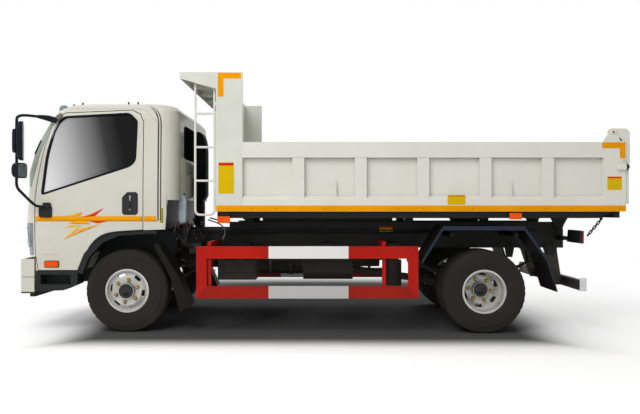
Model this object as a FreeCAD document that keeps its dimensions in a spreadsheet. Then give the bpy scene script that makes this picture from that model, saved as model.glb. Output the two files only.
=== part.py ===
"""A two-axle forward-control dump truck, as a parametric assembly.

Frame: origin on the ground below the middle of the truck, +X to the rear, +Y to the truck's
right, +Z up. Lengths are in millimetres and angles in degrees.
"""
import FreeCAD, Part
import Sketcher
import math
import os
from FreeCAD import Rotation, Vector

LEFT, RIGHT = -1, 1
CHAIN_LINKS = 7

# how far each wheel has rolled, in degrees, so that the stud circles are each at an angle of their own
WHEEL_ANGLES = {
    "front_left": 20,
    "front_right": 47,
    "rear_left": 53,
    "rear_right": 8,
}

# where a leaf spring is bent and its leaves end, as shares of its half length
LEAF_STATIONS = (0.2, 0.36, 0.52, 0.68, 0.84, 1.0)

# name: value. Each is one driving dimension of the truck.
SIZES = {
    # wheels and axles
    "wheelbase": 3500,
    "front_axle_x": -1900,
    "tyre_radius": 406,
    "tyre_width": 215,
    "dual_gap": 30,
    "bead_radius": 203,
    "flange_radius": 228,
    "rim_wall": 7,
    "rim_half_width": 80,
    "disc_bore_radius": 70,
    "disc_face_radius": 142,
    "disc_weld_y": 57,
    "hand_hole_length": 70,
    "hand_hole_width": 27,
    "stud_radius": 11,
    "stud_height": 26,
    "front_disc_y": 92,
    "front_hub_inner_y": 815,
    "front_cap_height": 34,
    "spindle_radius": 30,
    "spindle_end_y": 905,
    "rear_cap_height": 42,
    "rear_hub_inner_y": 640,
    "stub_radius": 42,
    "stub_end_y": 800,
    "banjo_radius": 172,
    "nose_length": 300,
    "axle_tube_radius": 56,
    "axle_tube_end_y": 632,
    "boss_height": 86,
    "fork_wall": 26,
    "fork_radius": 36,
    "fork_flange_radius": 66,
    "axle_drop": 70,
    "ball_pin_radius": 9,
    "open_pivot_gap": 5,
    "front_wheel_y": 857,
    "rear_wheel_y": 937,
    "disc_wall": 11,
    "stud_circle_radius": 111,
    "hub_radius": 78,
    "hand_hole_radius": 157,
    "kingpin_y": 760,
    "kingpin_radius": 16,
    "pin_clearance": 0.06,
    "steering_arm": 140,
    "tie_rod_radius": 14,
    # chassis
    "rail_centre_y": 395,
    "rail_height": 200,
    "rail_bottom_z": 800,
    "rail_flange": 70,
    "rail_wall": 9,
    "rail_front_x": -2850,
    "rail_rear_x": 2580,
    "subframe_height": 75,
    "subframe_front_x": -960,
    "spring_width": 70,
    "front_spring_half": 600,
    "front_eye_z": 590,
    "rear_spring_half": 640,
    "rear_eye_z": 668,
    "leaf_thickness": 12,
    "engine_front_x": -2480,
    "engine_rear_x": -1600,
    "engine_half_width": 320,
    "engine_bottom_z": 540,
    "engine_top_z": 1010,
    "shaft_radius": 40,
    "running_gap": 6,
    "seat_gap": 0.3,
    # bed
    "bed_front_x": -1004,
    "bed_rear_x": 2951,
    "bed_half_width": 1085,
    "bed_bottom_z": 1187,
    "bed_side_height": 670,
    "bed_rail_height": 150,
    "bed_side_depth": 60,
    "bed_sheet": 6,
    "bed_floor_wall": 8,
    "rail_ledge": 30,
    "stake_width": 115,
    "stake_pitch": 602,
    "front_stake_x": -208,
    "front_post_width": 256,
    "rear_post_width": 219,
    "headboard_top_z": 2530,
    "headboard_depth": 46,
    "canopy_front_x": -1352,
    "canopy_lip": 60,
    "canopy_wall": 8,
    "beam_bottom_z": 1118,
    "tip_pivot_x": 2530,
    "tip_pivot_z": 1035,
    "tip_pin_radius": 22,
    # tailgate
    "tip_ear_wall": 16,
    "gate_wall": 33,
    "gate_bottom_z": 1262,
    "gate_half_width": 1072,
    "gate_ear_wall": 16,
    "gate_ear_radius": 36,
    "gate_bracket_wall": 16,
    "gate_pin_length": 44,
    "gate_pin_x": 2822,
    "gate_pin_z": 1954,
    "gate_pin_radius": 14,
    # ladder and chain
    "ladder_front_x": -1224,
    "ladder_rear_x": -1016,
    "ladder_bottom_z": 1144,
    "ladder_top_z": 2465,
    "ladder_tube_radius": 11,
    "ladder_corner": 45,
    "chain_top_x": 2752,
    "chain_y": 985,
    "chain_wire": 8,
    "chain_link_length": 46,
    "chain_link_width": 30,
    "chain_lean": 40,
    # cab
    "cab_half_width": 975,
    "cab_wall": 45,
    "cab_rear_x": -1410,
    "cab_bow": 55,
    "cab_front_x": -2914,
    "cab_rear_corner": 170,
    "cab_tunnel_half": 470,
    "cab_front_bottom_z": 751,
    "rear_window_half": 600,
    "lamp_depth": 34,
    "mirror_post_x": -2888,
    "mirror_reach": 190,
    "driver_y": 520,
    "steering_wheel_x": -2400,
    "steering_wheel_z": 1560,
    "steering_wheel_radius": 215,
    "door_bottom_z": 604,
    "door_gap": 8,
    "glass_wall": 6,
    "cab_floor_z": 1040,
    "cab_lug_y": 330,
    "cab_pin_radius": 12,
    "cab_rest_x": -1545,
    "cab_hinge_x": -2935,
    "cab_hinge_z": 732,
    # hoist
    "hoist_foot_x": 400,
    "hoist_foot_z": 700,
    "hoist_eye_x": 1600,
    "hoist_eye_z": 1030,
    "gland_reach": 120,
    "rod_eye_width": 80,
    "rod_eye_radius": 40,
    "barrel_radius": 62,
    "barrel_eye_width": 90,
    "hoist_pin_radius": 20,
    "piston_rod_radius": 32,
    # guard, fenders and rear bar
    "guard_front_x": -1202,
    "guard_rear_x": 957,
    "guard_bottom_z": 341,
    "guard_top_z": 848,
    "guard_rail_height": 120,
    "guard_end_width": 100,
    "guard_half_width": 1035,
    "guard_depth": 30,
    "fender_half_width": 1035,
    "fender_inner_y": 545,
    "fender_wall": 5,
    "underrun_half_length": 1010,
    "front_guard_inner_y": 735,
    "front_guard_outer_y": 968,
    "bumper_inset": 15,
    "bumper_top_z": 718,
    "bumper_bottom_z": 383,
    "bumper_front_x": -2997.5,
}

doc = FreeCAD.newDocument("DumpTruck")
sheet = doc.addObject("Spreadsheet::Sheet", "Sizes")
for row, (alias, value) in enumerate(SIZES.items(), 1):
    sheet.set("A%d" % row, alias)
    sheet.set("B%d" % row, str(value))
    sheet.setAlias("B%d" % row, alias)
doc.recompute()


class Size:
    """A number together with the spreadsheet expression that gives it."""

    def __init__(self, number, text):
        self.number = float(number)
        self.text = text

    def __add__(self, other):
        other = as_size(other)
        return Size(self.number + other.number, "(%s + %s)" % (self.text, other.text))

    def __sub__(self, other):
        other = as_size(other)
        return Size(self.number - other.number, "(%s - %s)" % (self.text, other.text))

    def __mul__(self, other):
        other = as_size(other)
        return Size(self.number * other.number, "%s * %s" % (self.text, other.text))

    def __truediv__(self, other):
        other = as_size(other)
        return Size(self.number / other.number, "%s / %s" % (self.text, other.text))

    def __radd__(self, other):
        return as_size(other) + self

    def __rsub__(self, other):
        return as_size(other) - self

    def __rmul__(self, other):
        return as_size(other) * self

    def __neg__(self):
        return Size(-self.number, "(0 - %s)" % self.text)

    def __float__(self):
        return self.number


def as_size(value):
    """Give a plain number as a Size, and leave a Size as it is."""
    if isinstance(value, Size):
        return value
    return Size(value, "(%s)" % repr(float(value)))


class Cells:
    """The spreadsheet's cells, read back by their names."""


z = Cells()
for alias in SIZES:
    setattr(z, alias, Size(sheet.get(alias), "Sizes." + alias))

NODES = []


def bind(item, prop, value):
    """Bind one property to the spreadsheet expression of a Size."""
    item.setExpression(prop, as_size(value).text)


def put(item, at, turn=None):
    """Place an item: a fixed turn, and a base bound to the spreadsheet."""
    if turn is not None:
        item.Placement = FreeCAD.Placement(Vector(), turn)
    for axis, value in zip("xyz", at):
        bind(item, "Placement.Base." + axis, value)
    return item


def block(name, size, at):
    """A box from its lowest corner."""
    item = doc.addObject("Part::Box", name)
    for prop, value in zip(("Length", "Width", "Height"), size):
        bind(item, prop, value)
    return put(item, at)


def bar(name, low, high):
    """A box between its lowest and highest corners."""
    size = [as_size(high[i]) - low[i] for i in range(3)]
    return block(name, size, low)


TURNS = {
    "x": Rotation(Vector(0, 1, 0), 90),
    "y": Rotation(Vector(1, 0, 0), -90),
    "z": Rotation(),
}


def rod(name, radius, length, at, axis="z"):
    """A cylinder from the middle of its first end, along an axis."""
    item = doc.addObject("Part::Cylinder", name)
    bind(item, "Radius", radius)
    bind(item, "Height", length)
    return put(item, at, TURNS[axis])


def join(name, pieces):
    """Fuse pieces into one item."""
    item = doc.addObject("Part::MultiFuse", name)
    item.Shapes = pieces
    item.Refine = True
    return item


def cut(name, base, tools):
    """Take tools away from a base."""
    item = doc.addObject("Part::Cut", name)
    item.Base = base
    item.Tool = tools[0] if len(tools) == 1 else join(name + "_tools", tools)
    return item


def mirrored(name, piece):
    """The same piece on the truck's other side."""
    item = doc.addObject("Part::Mirroring", name)
    item.Source = piece
    item.Normal = Vector(0, 1, 0)
    return item


def pair(name, piece):
    """A piece and its mirror image, as one item."""
    return join(name, [piece, mirrored(name + "_far", piece)])


def sketch_on(body, name, plane, lift=0):
    """A sketch on one of a body's own origin planes, moved along that plane's normal."""
    sketch = body.newObject("Sketcher::SketchObject", name)
    for feature in body.Origin.OriginFeatures:
        if feature.Role == plane.upper() + "_Plane":
            sketch.AttachmentSupport = [(feature, "")]
    sketch.MapMode = "FlatFace"
    bind(sketch, "AttachmentOffset.Base.z", lift)
    return sketch


def polygon(sketch, points):
    """A closed outline whose corners are bound to the spreadsheet."""
    count = len(points)
    first = sketch.GeometryCount
    corners = [Vector(as_size(u).number, as_size(v).number, 0) for u, v in points]
    for i in range(count):
        sketch.addGeometry(Part.LineSegment(corners[i], corners[(i + 1) % count]), False)
    for i, point in enumerate(points):
        after = first + (i + 1) % count
        sketch.addConstraint(Sketcher.Constraint("Coincident", first + i, 2, after, 1))
        for kind, value in zip(("DistanceX", "DistanceY"), point):
            size = as_size(value)
            rule = Sketcher.Constraint(kind, -1, 1, first + i, 1, size.number)
            index = sketch.addConstraint(rule)
            bind(sketch, "Constraints[%d]" % index, size)


def prism(name, plane, points, start, depth):
    """A body padded from an outline. In the xz plane, start and depth run towards -Y."""
    body = doc.addObject("PartDesign::Body", name)
    sketch = sketch_on(body, name + "_outline", plane, start)
    polygon(sketch, points)
    pad = body.newObject("PartDesign::Pad", name + "_pad")
    pad.Profile = sketch
    bind(pad, "Length", depth)
    return body


def side_prism(name, points, low_y, high_y):
    """A body with an outline in X and Z, between two planes of Y."""
    high_y = as_size(high_y)
    return prism(name, "xz", points, -high_y, high_y - low_y)


def turned(name, points):
    """A body turned about the Y axis through its origin, from (radius, y) points."""
    body = doc.addObject("PartDesign::Body", name)
    sketch = sketch_on(body, name + "_outline", "xy")
    polygon(sketch, points)
    spin = body.newObject("PartDesign::Revolution", name + "_turn")
    spin.Profile = sketch
    spin.ReferenceAxis = (sketch, ["V_Axis"])
    spin.Angle = 360
    return body


def runs_along(edge, axis):
    """True for a straight edge along an axis given as x, y or z."""
    if not isinstance(edge.Curve, (Part.Line, Part.LineSegment)):
        return False
    return abs(getattr(edge.tangentAt(edge.FirstParameter), axis)) > 0.999


def shaped(name, shape):
    """A plain feature for a shape that neither bodies nor primitives can make."""
    item = doc.addObject("Part::Feature", name)
    item.Shape = shape
    return item


def node(label, item):
    """Give a finished sub-part its name."""
    item.Label = label
    NODES.append(item)
    return item


# ---------------------------------------------------------------- wheels and axles

def wheel_turn(side, angle=0):
    """Wheels are drawn with the outer face towards +Y, so the left ones are turned round."""
    facing = Rotation(Vector(0, 0, 1), 180 if side == LEFT else 0)
    return Rotation(Vector(0, -1, 0), angle).multiply(facing)


def tyre(name, side, axle_x, centre_y):
    """A tyre casing, seated on the rim's bead seats and between its flanges."""
    half = z.tyre_width / 2
    bead = z.rim_half_width
    crown = z.tyre_radius
    right_half = [
        (z.bead_radius, bead),
        (z.flange_radius + 4, bead),
        (z.bead_radius + (crown - z.bead_radius) * 0.56, half),
        (crown - 16, half - 16),
        (crown, half - 40),
    ]
    left_half = [(radius, -y) for radius, y in reversed(right_half)]
    body = turned(name, right_half + left_half)
    return put(body, (axle_x, side * centre_y, z.tyre_radius), wheel_turn(side))


def rim_profile(face_y):
    """Half section of a rim with its disc: flat face at face_y, cone, barrel and flanges."""
    barrel = z.bead_radius - z.rim_wall
    edge = z.rim_half_width
    lip = edge + z.rim_wall
    back_y = face_y - z.disc_wall
    cone_y = z.disc_weld_y
    return [
        (z.disc_bore_radius, back_y),
        (z.disc_face_radius - 6, back_y),
        (barrel - 18, cone_y - z.disc_wall),
        (barrel, cone_y - z.disc_wall),
        (barrel, -lip),
        (z.flange_radius, -lip),
        (z.flange_radius, -edge),
        (z.bead_radius, -edge),
        (z.bead_radius, edge),
        (z.flange_radius, edge),
        (z.flange_radius, lip),
        (barrel, lip),
        (barrel, cone_y),
        (barrel - 14, cone_y),
        (z.disc_face_radius, face_y),
        (z.disc_bore_radius, face_y),
    ]


def rim(name, face_y):
    """A pressed rim: turned section, then hand holes through the cone in a polar pattern."""
    body = turned(name, rim_profile(face_y))
    sketch = sketch_on(body, name + "_hole_outline", "xz", -(face_y + 60))
    half = z.hand_hole_length / 2
    low = z.hand_hole_radius - z.hand_hole_width / 2
    high = z.hand_hole_radius + z.hand_hole_width / 2
    slope = z.hand_hole_width / 3
    polygon(sketch, [
        (-half + slope, low), (half - slope, low), (half, low + slope),
        (half, high - slope), (half - slope, high), (-half + slope, high),
        (-half, high - slope), (-half, low + slope),
    ])
    doc.recompute()
    pocket = body.newObject("PartDesign::Pocket", name + "_hole")
    pocket.Profile = sketch
    pocket.Type = "ThroughAll"
    pocket.Reversed = True
    ring = body.newObject("PartDesign::PolarPattern", name + "_holes")
    ring.Originals = [pocket]
    ring.Axis = (sketch, ["N_Axis"])
    ring.Occurrences = 6
    body.Tip = ring
    return body


def stud_ring(name, side, axle_x, face_y, length, turned_by):
    """Six studs on the pitch circle, from the hub flange through the disc."""
    studs = []
    for i in range(6):
        angle = math.radians(60 * i + turned_by)
        along = z.stud_circle_radius * math.cos(angle)
        up = z.stud_circle_radius * math.sin(angle)
        low_y = face_y if side == RIGHT else -face_y - length
        at = (axle_x + along, low_y, z.tyre_radius + up)
        studs.append(rod("%s_%d" % (name, i), z.stud_radius, length, at, "y"))
    return studs


def across(side, name, radius, near_y, far_y, at_x, at_z):
    """A cylinder along Y between two distances from the truck's middle plane."""
    start = near_y if side == RIGHT else -as_size(far_y)
    return rod(name, radius, as_size(far_y) - near_y, (at_x, start, at_z), "y")


def front_wheel(side, name):
    """Steered wheel: tyre, rim with its outward disc, hub and studs."""
    tyre_item = tyre("front_tyre_body_" + name, side, z.front_axle_x, z.front_wheel_y)
    node("front_tyre_" + name, tyre_item)
    face = z.front_disc_y
    angle = WHEEL_ANGLES["front_" + name]
    pressed = rim("front_rim_body_" + name, face)
    put(pressed, (z.front_axle_x, side * z.front_wheel_y, z.tyre_radius), wheel_turn(side, angle))
    disc_y = z.front_wheel_y + face - z.disc_wall
    hub = across(side, "front_hub_" + name, z.hub_radius + 48, z.front_hub_inner_y,
                 disc_y, z.front_axle_x, z.tyre_radius)
    cap = across(side, "front_cap_" + name, z.hub_radius, disc_y,
                 disc_y + z.disc_wall + z.front_cap_height, z.front_axle_x, z.tyre_radius)
    bore = across(side, "front_hub_bore_" + name, z.spindle_radius + z.pin_clearance,
                  z.front_hub_inner_y - 1, z.spindle_end_y + 4, z.front_axle_x, z.tyre_radius)
    studs = stud_ring("front_stud_" + name, side, z.front_axle_x, disc_y,
                      z.disc_wall + z.stud_height, angle)
    solid = join("front_rim_solid_" + name, [pressed, hub, cap] + studs)
    node("front_rim_" + name, cut("front_rim_item_" + name, solid, [bore]))


def knuckle(side, name):
    """Steering knuckle: kingpin, fork about the axle's boss, spindle and steering arm."""
    x0 = z.front_axle_x
    axle_z = z.tyre_radius
    pin_y = side * z.kingpin_y
    half = z.boss_height / 2
    fork = z.fork_wall
    gap = z.seat_gap
    pin = rod("kingpin_" + name, z.kingpin_radius, z.boss_height + 2 * fork + 2 * gap,
              (x0, pin_y, axle_z - half - fork - gap))
    upper = rod("fork_upper_" + name, z.fork_radius, fork, (x0, pin_y, axle_z + half + gap))
    lower = rod("fork_lower_" + name, z.fork_radius, fork,
                (x0, pin_y, axle_z - half - fork - gap))
    near = z.kingpin_y + z.fork_radius + 2
    flange = across(side, "fork_flange_" + name, z.fork_flange_radius, near, near + 16, x0, axle_z)
    web_low = (x0 - 26, min_y(side, z.kingpin_y, near), axle_z + half + gap)
    web_high = (x0 + 26, max_y(side, z.kingpin_y, near), axle_z + half + fork + gap)
    upper_web = bar("fork_upper_web_" + name, web_low, web_high)
    low_web_low = (x0 - 26, min_y(side, z.kingpin_y, near), axle_z - half - fork - gap)
    low_web_high = (x0 + 26, max_y(side, z.kingpin_y, near), axle_z - half - gap)
    lower_web = bar("fork_lower_web_" + name, low_web_low, low_web_high)
    spindle = across(side, "spindle_" + name, z.spindle_radius, near + 16, z.spindle_end_y,
                     x0, axle_z)
    arm_low = axle_z - half - fork - gap
    arm = bar("steering_arm_" + name, (x0, pin_y - 22, arm_low),
              (x0 + z.steering_arm, pin_y + 22, arm_low + fork))
    eye = rod("steering_eye_" + name, 24, fork, (x0 + z.steering_arm, pin_y, arm_low))
    parts = [pin, upper, lower, flange, upper_web, lower_web, spindle, arm, eye]
    solid = join("knuckle_solid_" + name, parts)
    radius = z.ball_pin_radius + (z.pin_clearance if side == LEFT else z.open_pivot_gap)
    hole = rod("steering_eye_hole_" + name, radius, fork + 2,
               (x0 + z.steering_arm, pin_y, arm_low - 1))
    node("knuckle_" + name, cut("knuckle_item_" + name, solid, [hole]))


def min_y(side, near, far):
    """The lower Y of two distances from the middle plane, on one side."""
    return near if side == RIGHT else -as_size(far)


def max_y(side, near, far):
    """The higher Y of two distances from the middle plane, on one side."""
    return far if side == RIGHT else -as_size(near)


def tie_rod():
    """Tie rod below the steering arms, with a ball pin up into each arm."""
    x0 = z.front_axle_x + z.steering_arm
    arm_low = z.tyre_radius - z.boss_height / 2 - z.fork_wall - z.seat_gap
    centre_z = arm_low - z.tie_rod_radius - 5
    tube = rod("tie_rod_tube", z.tie_rod_radius, 2 * z.kingpin_y, (x0, -z.kingpin_y, centre_z), "y")
    parts = [tube]
    for side, name in ((LEFT, "left"), (RIGHT, "right")):
        at = (x0, side * z.kingpin_y, centre_z - z.tie_rod_radius - 2)
        socket = rod("tie_rod_socket_" + name, 17, 2 * z.tie_rod_radius + 4, at)
        length = 2 * z.tie_rod_radius + 7 + z.fork_wall
        parts += [socket, rod("ball_pin_" + name, z.ball_pin_radius, length, at)]
    node("tie_rod", join("tie_rod_item", parts))


def front_axle():
    """Drop-forged beam with spring seats, and a bored boss for each kingpin."""
    x0 = z.front_axle_x
    low = z.tyre_radius - z.boss_height / 2
    high = z.tyre_radius + z.boss_height / 2
    drop = z.axle_drop
    seat = z.rail_centre_y + 60
    points = [
        (-z.kingpin_y, low), (-(z.kingpin_y - 60), low), (-seat, low - drop),
        (seat, low - drop), (z.kingpin_y - 60, low), (z.kingpin_y, low),
        (z.kingpin_y, high), (z.kingpin_y - 60, high), (seat, high - drop),
        (-seat, high - drop), (-(z.kingpin_y - 60), high), (-z.kingpin_y, high),
    ]
    beam = prism("front_beam", "yz", points, x0 - 32, 64)
    waist = prism("front_beam_waist", "yz", [
        (-(seat - 110), low - drop + 16), (seat - 110, low - drop + 16),
        (seat - 110, high - drop - 16), (-(seat - 110), high - drop - 16),
    ], x0 - 33, 22)
    waist_back = prism("front_beam_waist_back", "yz", [
        (-(seat - 110), low - drop + 16), (seat - 110, low - drop + 16),
        (seat - 110, high - drop - 16), (-(seat - 110), high - drop - 16),
    ], x0 + 11, 22)
    bosses = []
    bores = []
    for side, name in ((LEFT, "left"), (RIGHT, "right")):
        at = (x0, side * z.kingpin_y, low)
        bosses.append(rod("boss_" + name, 34, z.boss_height, at))
        bore_at = (x0, side * z.kingpin_y, low - 1)
        bores.append(rod("boss_bore_" + name, z.kingpin_radius + z.pin_clearance,
                         z.boss_height + 2, bore_at))
    solid = join("front_axle_solid", [beam] + bosses)
    node("front_axle", cut("front_axle_item", solid, [waist, waist_back] + bores))


def rear_wheels(side, name):
    """Twin wheels on one hub: two tyres, two rims back to back, hub and studs."""
    outer_y = z.rear_wheel_y
    inner_y = z.rear_wheel_y - z.tyre_width - z.dual_gap
    middle = (outer_y + inner_y) / 2
    axle_x = z.front_axle_x + z.wheelbase
    tyres = [tyre("rear_tyre_outer_" + name, side, axle_x, outer_y),
             tyre("rear_tyre_inner_" + name, side, axle_x, inner_y)]
    node("rear_tyres_" + name, join("rear_tyres_item_" + name, tyres))
    face = z.disc_wall - (outer_y - inner_y) / 2
    angle = WHEEL_ANGLES["rear_" + name]
    outer_turn = wheel_turn(-side, angle)
    inner_turn = wheel_turn(side, angle)
    outer_rim = rim("rear_rim_outer_" + name, -face + z.disc_wall)
    put(outer_rim, (axle_x, side * outer_y, z.tyre_radius), outer_turn)
    inner_rim = rim("rear_rim_inner_" + name, -face + z.disc_wall)
    put(inner_rim, (axle_x, side * inner_y, z.tyre_radius), inner_turn)
    hub = across(side, "rear_hub_" + name, z.hub_radius + 46, z.rear_hub_inner_y, middle - z.disc_wall,
                 axle_x, z.tyre_radius)
    cap = across(side, "rear_cap_" + name, z.hub_radius, middle - z.disc_wall - 1,
                 middle + z.disc_wall + z.rear_cap_height, axle_x, z.tyre_radius)
    bore = across(side, "rear_hub_bore_" + name, z.stub_radius + z.pin_clearance,
                  z.rear_hub_inner_y - 1, z.stub_end_y + 4, axle_x, z.tyre_radius)
    studs = stud_ring("rear_stud_" + name, side, axle_x, middle - z.disc_wall,
                      2 * z.disc_wall + z.stud_height, angle)
    solid = join("rear_rims_solid_" + name, [outer_rim, inner_rim, hub, cap] + studs)
    node("rear_rims_" + name, cut("rear_rims_item_" + name, solid, [bore]))


def rear_axle():
    """Banjo housing with a differential bowl, tubes and a stub for each hub."""
    axle_x = z.front_axle_x + z.wheelbase
    axle_z = z.tyre_radius
    bowl = turned("banjo_bowl", [
        (0, -115), (110, -115), (z.banjo_radius, -60), (z.banjo_radius, 60), (110, 115), (0, 115),
    ])
    put(bowl, (axle_x, 0, axle_z))
    nose = rod("banjo_nose", 82, z.nose_length, (axle_x - z.nose_length, 0, axle_z), "x")
    tube = rod("axle_tube", z.axle_tube_radius, 2 * z.axle_tube_end_y,
               (axle_x, -z.axle_tube_end_y, axle_z), "y")
    stub = rod("axle_stub", z.stub_radius, 2 * z.stub_end_y, (axle_x, -z.stub_end_y, axle_z), "y")
    node("rear_axle", join("rear_axle_item", [bowl, nose, tube, stub]))


def build_wheels():
    """All wheels, with the steering and both axles."""
    for side, name in ((LEFT, "left"), (RIGHT, "right")):
        front_wheel(side, name)
        knuckle(side, name)
        rear_wheels(side, name)
    tie_rod()
    front_axle()
    rear_axle()


# ---------------------------------------------------------------- chassis

def channel(name, web_y, flange, low_z, height, wall, start_x, end_x):
    """A C-section rail along X, its web at web_y and its flanges towards the middle."""
    inner = web_y - flange
    top = low_z + height
    points = [
        (web_y, low_z), (web_y, top), (inner, top), (inner, top - wall),
        (web_y - wall, top - wall), (web_y - wall, low_z + wall), (inner, low_z + wall),
        (inner, low_z),
    ]
    return prism(name, "yz", points, start_x, end_x - start_x)


def hanger_cheeks(name, at_x, eye_z):
    """Two cheek plates below a rail, either side of a spring eye."""
    half = z.spring_width / 2
    parts = []
    for tag, near in (("in", z.rail_centre_y - half - 8), ("out", z.rail_centre_y + half)):
        points = [
            (at_x - 55, z.rail_bottom_z), (at_x - 26, eye_z - 24), (at_x + 26, eye_z - 24),
            (at_x + 55, z.rail_bottom_z),
        ]
        parts.append(side_prism(name + "_" + tag, points, near, near + 8))
    cap_low = (at_x - 55, z.rail_centre_y - half - 8, z.rail_bottom_z - 10)
    cap_high = (at_x + 55, z.rail_centre_y + half + 8, z.rail_bottom_z)
    return parts + [bar(name + "_cap", cap_low, cap_high)]


def rail_end():
    """The rails end at their own length, or past the rear springs where those reach further."""
    behind_springs = z.front_axle_x + z.wheelbase + z.rear_spring_half + 60
    return max(z.rail_rear_x, behind_springs, key=float)


def frame_rails():
    """Ladder frame: two channel rails, cross members, spring hangers and cab brackets."""
    outer = z.rail_centre_y + z.rail_flange / 2
    parts = [channel("rail", outer, z.rail_flange, z.rail_bottom_z, z.rail_height, z.rail_wall,
                     z.rail_front_x, rail_end())]
    rear_axle_x = z.front_axle_x + z.wheelbase
    for name, axle_x, half, eye_z in (
            ("front", z.front_axle_x, z.front_spring_half, z.front_eye_z),
            ("rear", rear_axle_x, z.rear_spring_half, z.rear_eye_z)):
        parts += hanger_cheeks(name + "_hanger_a", axle_x - half, eye_z)
        parts += hanger_cheeks(name + "_hanger_b", axle_x + half, eye_z)
    low = z.cab_hinge_z - 20
    bracket = [
        (z.cab_hinge_x, low), (z.rail_front_x + 60, low), (z.rail_front_x + 60, z.rail_bottom_z),
        (z.rail_front_x, z.rail_bottom_z), (z.rail_front_x, z.cab_hinge_z + 10),
        (z.cab_hinge_x, z.cab_hinge_z + 10),
    ]
    parts.append(side_prism("cab_bracket", bracket, z.cab_lug_y - 30, z.cab_lug_y))
    parts.append(rod("cab_hinge_boss", 16, 30, (z.cab_hinge_x, z.cab_lug_y - 30, z.cab_hinge_z),
                     "y"))
    parts.append(rod("cab_hinge_pin", z.cab_pin_radius, 66,
                     (z.cab_hinge_x, z.cab_lug_y - 30, z.cab_hinge_z), "y"))
    rest_low = (z.cab_rest_x - 20, 300, z.rail_bottom_z + 60)
    rest_high = (z.cab_rest_x + 20, outer - z.rail_flange, z.cab_floor_z - z.seat_gap)
    parts.append(bar("cab_rest", rest_low, rest_high))
    side = join("frame_side", parts)
    both = [side, mirrored("frame_side_far", side)]
    inner = outer - z.rail_wall
    for i, at_x in enumerate((-1350, -320, 1940, 2340)):
        both.append(rod("cross_tube_%d" % i, 48, 2 * inner,
                        (at_x, -inner, z.rail_bottom_z + z.rail_height / 2), "y"))
    both.append(bar("front_cross", (z.rail_front_x, -outer, z.cab_hinge_z - 20),
                    (z.rail_front_x + 60, outer, z.rail_bottom_z)))
    both.append(bar("cab_rest_beam", (z.cab_rest_x - 20, -inner, z.rail_bottom_z + 60),
                    (z.cab_rest_x + 20, inner, z.rail_bottom_z + z.rail_height - z.rail_wall)))
    both.append(bar("rear_cross", (rail_end() - 12, -inner, z.rail_bottom_z + z.rail_wall),
                    (rail_end(), inner, z.rail_bottom_z + z.rail_height - z.rail_wall)))
    both += hoist_foot()
    node("frame_rails", join("frame_rails_item", both))


def hoist_foot():
    """Cross beam with two cheeks and the pin that carries the hoist barrel."""
    x0 = z.hoist_foot_x
    z0 = z.hoist_foot_z
    half = z.barrel_eye_width / 2
    inner = z.rail_centre_y + z.rail_flange / 2 - z.rail_wall
    top = z.rail_bottom_z + z.rail_height - z.rail_wall
    beam = bar("hoist_beam", (x0 - 190, -inner, z.rail_bottom_z + z.rail_wall),
               (x0 - 120, inner, top))
    parts = [beam]
    points = [
        (x0 - 190, z.rail_bottom_z), (x0 - 30, z0 - 34), (x0 + 22, z0 - 34), (x0 + 36, z0 + 12),
        (x0 - 60, z0 + 130), (x0 - 120, top), (x0 - 190, top),
    ]
    for tag, near in (("left", -(half + 14 + z.running_gap)), ("right", half + z.running_gap)):
        parts.append(side_prism("hoist_cheek_" + tag, points, near, near + 14))
    width = 2 * (half + 14 + z.running_gap)
    parts.append(rod("hoist_pin", z.hoist_pin_radius, width, (x0, -width / 2, z0), "y"))
    return parts


def tipper_subframe():
    """Subframe on the rails: two box beams, cross ties, rest pads and the tipping pin."""
    low = z.rail_bottom_z + z.rail_height
    top = low + z.subframe_height
    outer = z.rail_centre_y + z.rail_flange / 2
    inner = outer - z.rail_flange
    beam = bar("subframe_beam", (z.subframe_front_x, inner, low), (z.tip_pivot_x + 45, outer, top))
    parts = [beam]
    for i, at_x in enumerate((-800, 0, 900, 1700)):
        parts.append(bar("rest_pad_%d" % i, (at_x, inner + 6, top),
                         (at_x + 90, outer - 6, z.beam_bottom_z - z.seat_gap)))
    side = join("subframe_side", parts)
    both = [side, mirrored("subframe_side_far", side)]
    for i, at_x in enumerate((-940, -300, 200, 1980, 2300)):
        both.append(bar("subframe_tie_%d" % i, (at_x, -inner, low + 12),
                        (at_x + 60, inner, top - 8)))
    reach = outer + z.running_gap + z.tip_ear_wall + 6
    both.append(rod("tip_pin", z.tip_pin_radius, 2 * reach,
                    (z.tip_pivot_x, -reach, z.tip_pivot_z), "y"))
    node("tipper_subframe", join("tipper_subframe_item", both))


def leaf_spring(name, axle_x, seat_z, half, eye_z, leaves):
    """A semi-elliptic spring: eyed master leaf over leaves that are each one station shorter."""
    parts = []
    low_y = z.rail_centre_y - z.spring_width / 2
    rise = eye_z - seat_z - z.leaf_thickness * leaves
    for i in range(leaves):
        base = seat_z + z.leaf_thickness * (leaves - 1 - i)
        arm = []
        for share in LEAF_STATIONS[:len(LEAF_STATIONS) - i]:
            bend = (share - LEAF_STATIONS[0]) / (1 - LEAF_STATIONS[0])
            arm.append((half * share, base + rise * bend ** 2))
        under = [(axle_x - along, height) for along, height in reversed(arm)]
        under += [(axle_x + along, height) for along, height in arm]
        over = [(along, height + z.leaf_thickness) for along, height in reversed(under)]
        parts.append(side_prism("%s_leaf_%d" % (name, i), under + over, low_y,
                                low_y + z.spring_width))
    for tag, sign in (("a", -1), ("b", 1)):
        parts.append(rod("%s_eye_%s" % (name, tag), 24, z.spring_width,
                         (axle_x + sign * half, low_y, eye_z), "y"))
    return parts


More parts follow.
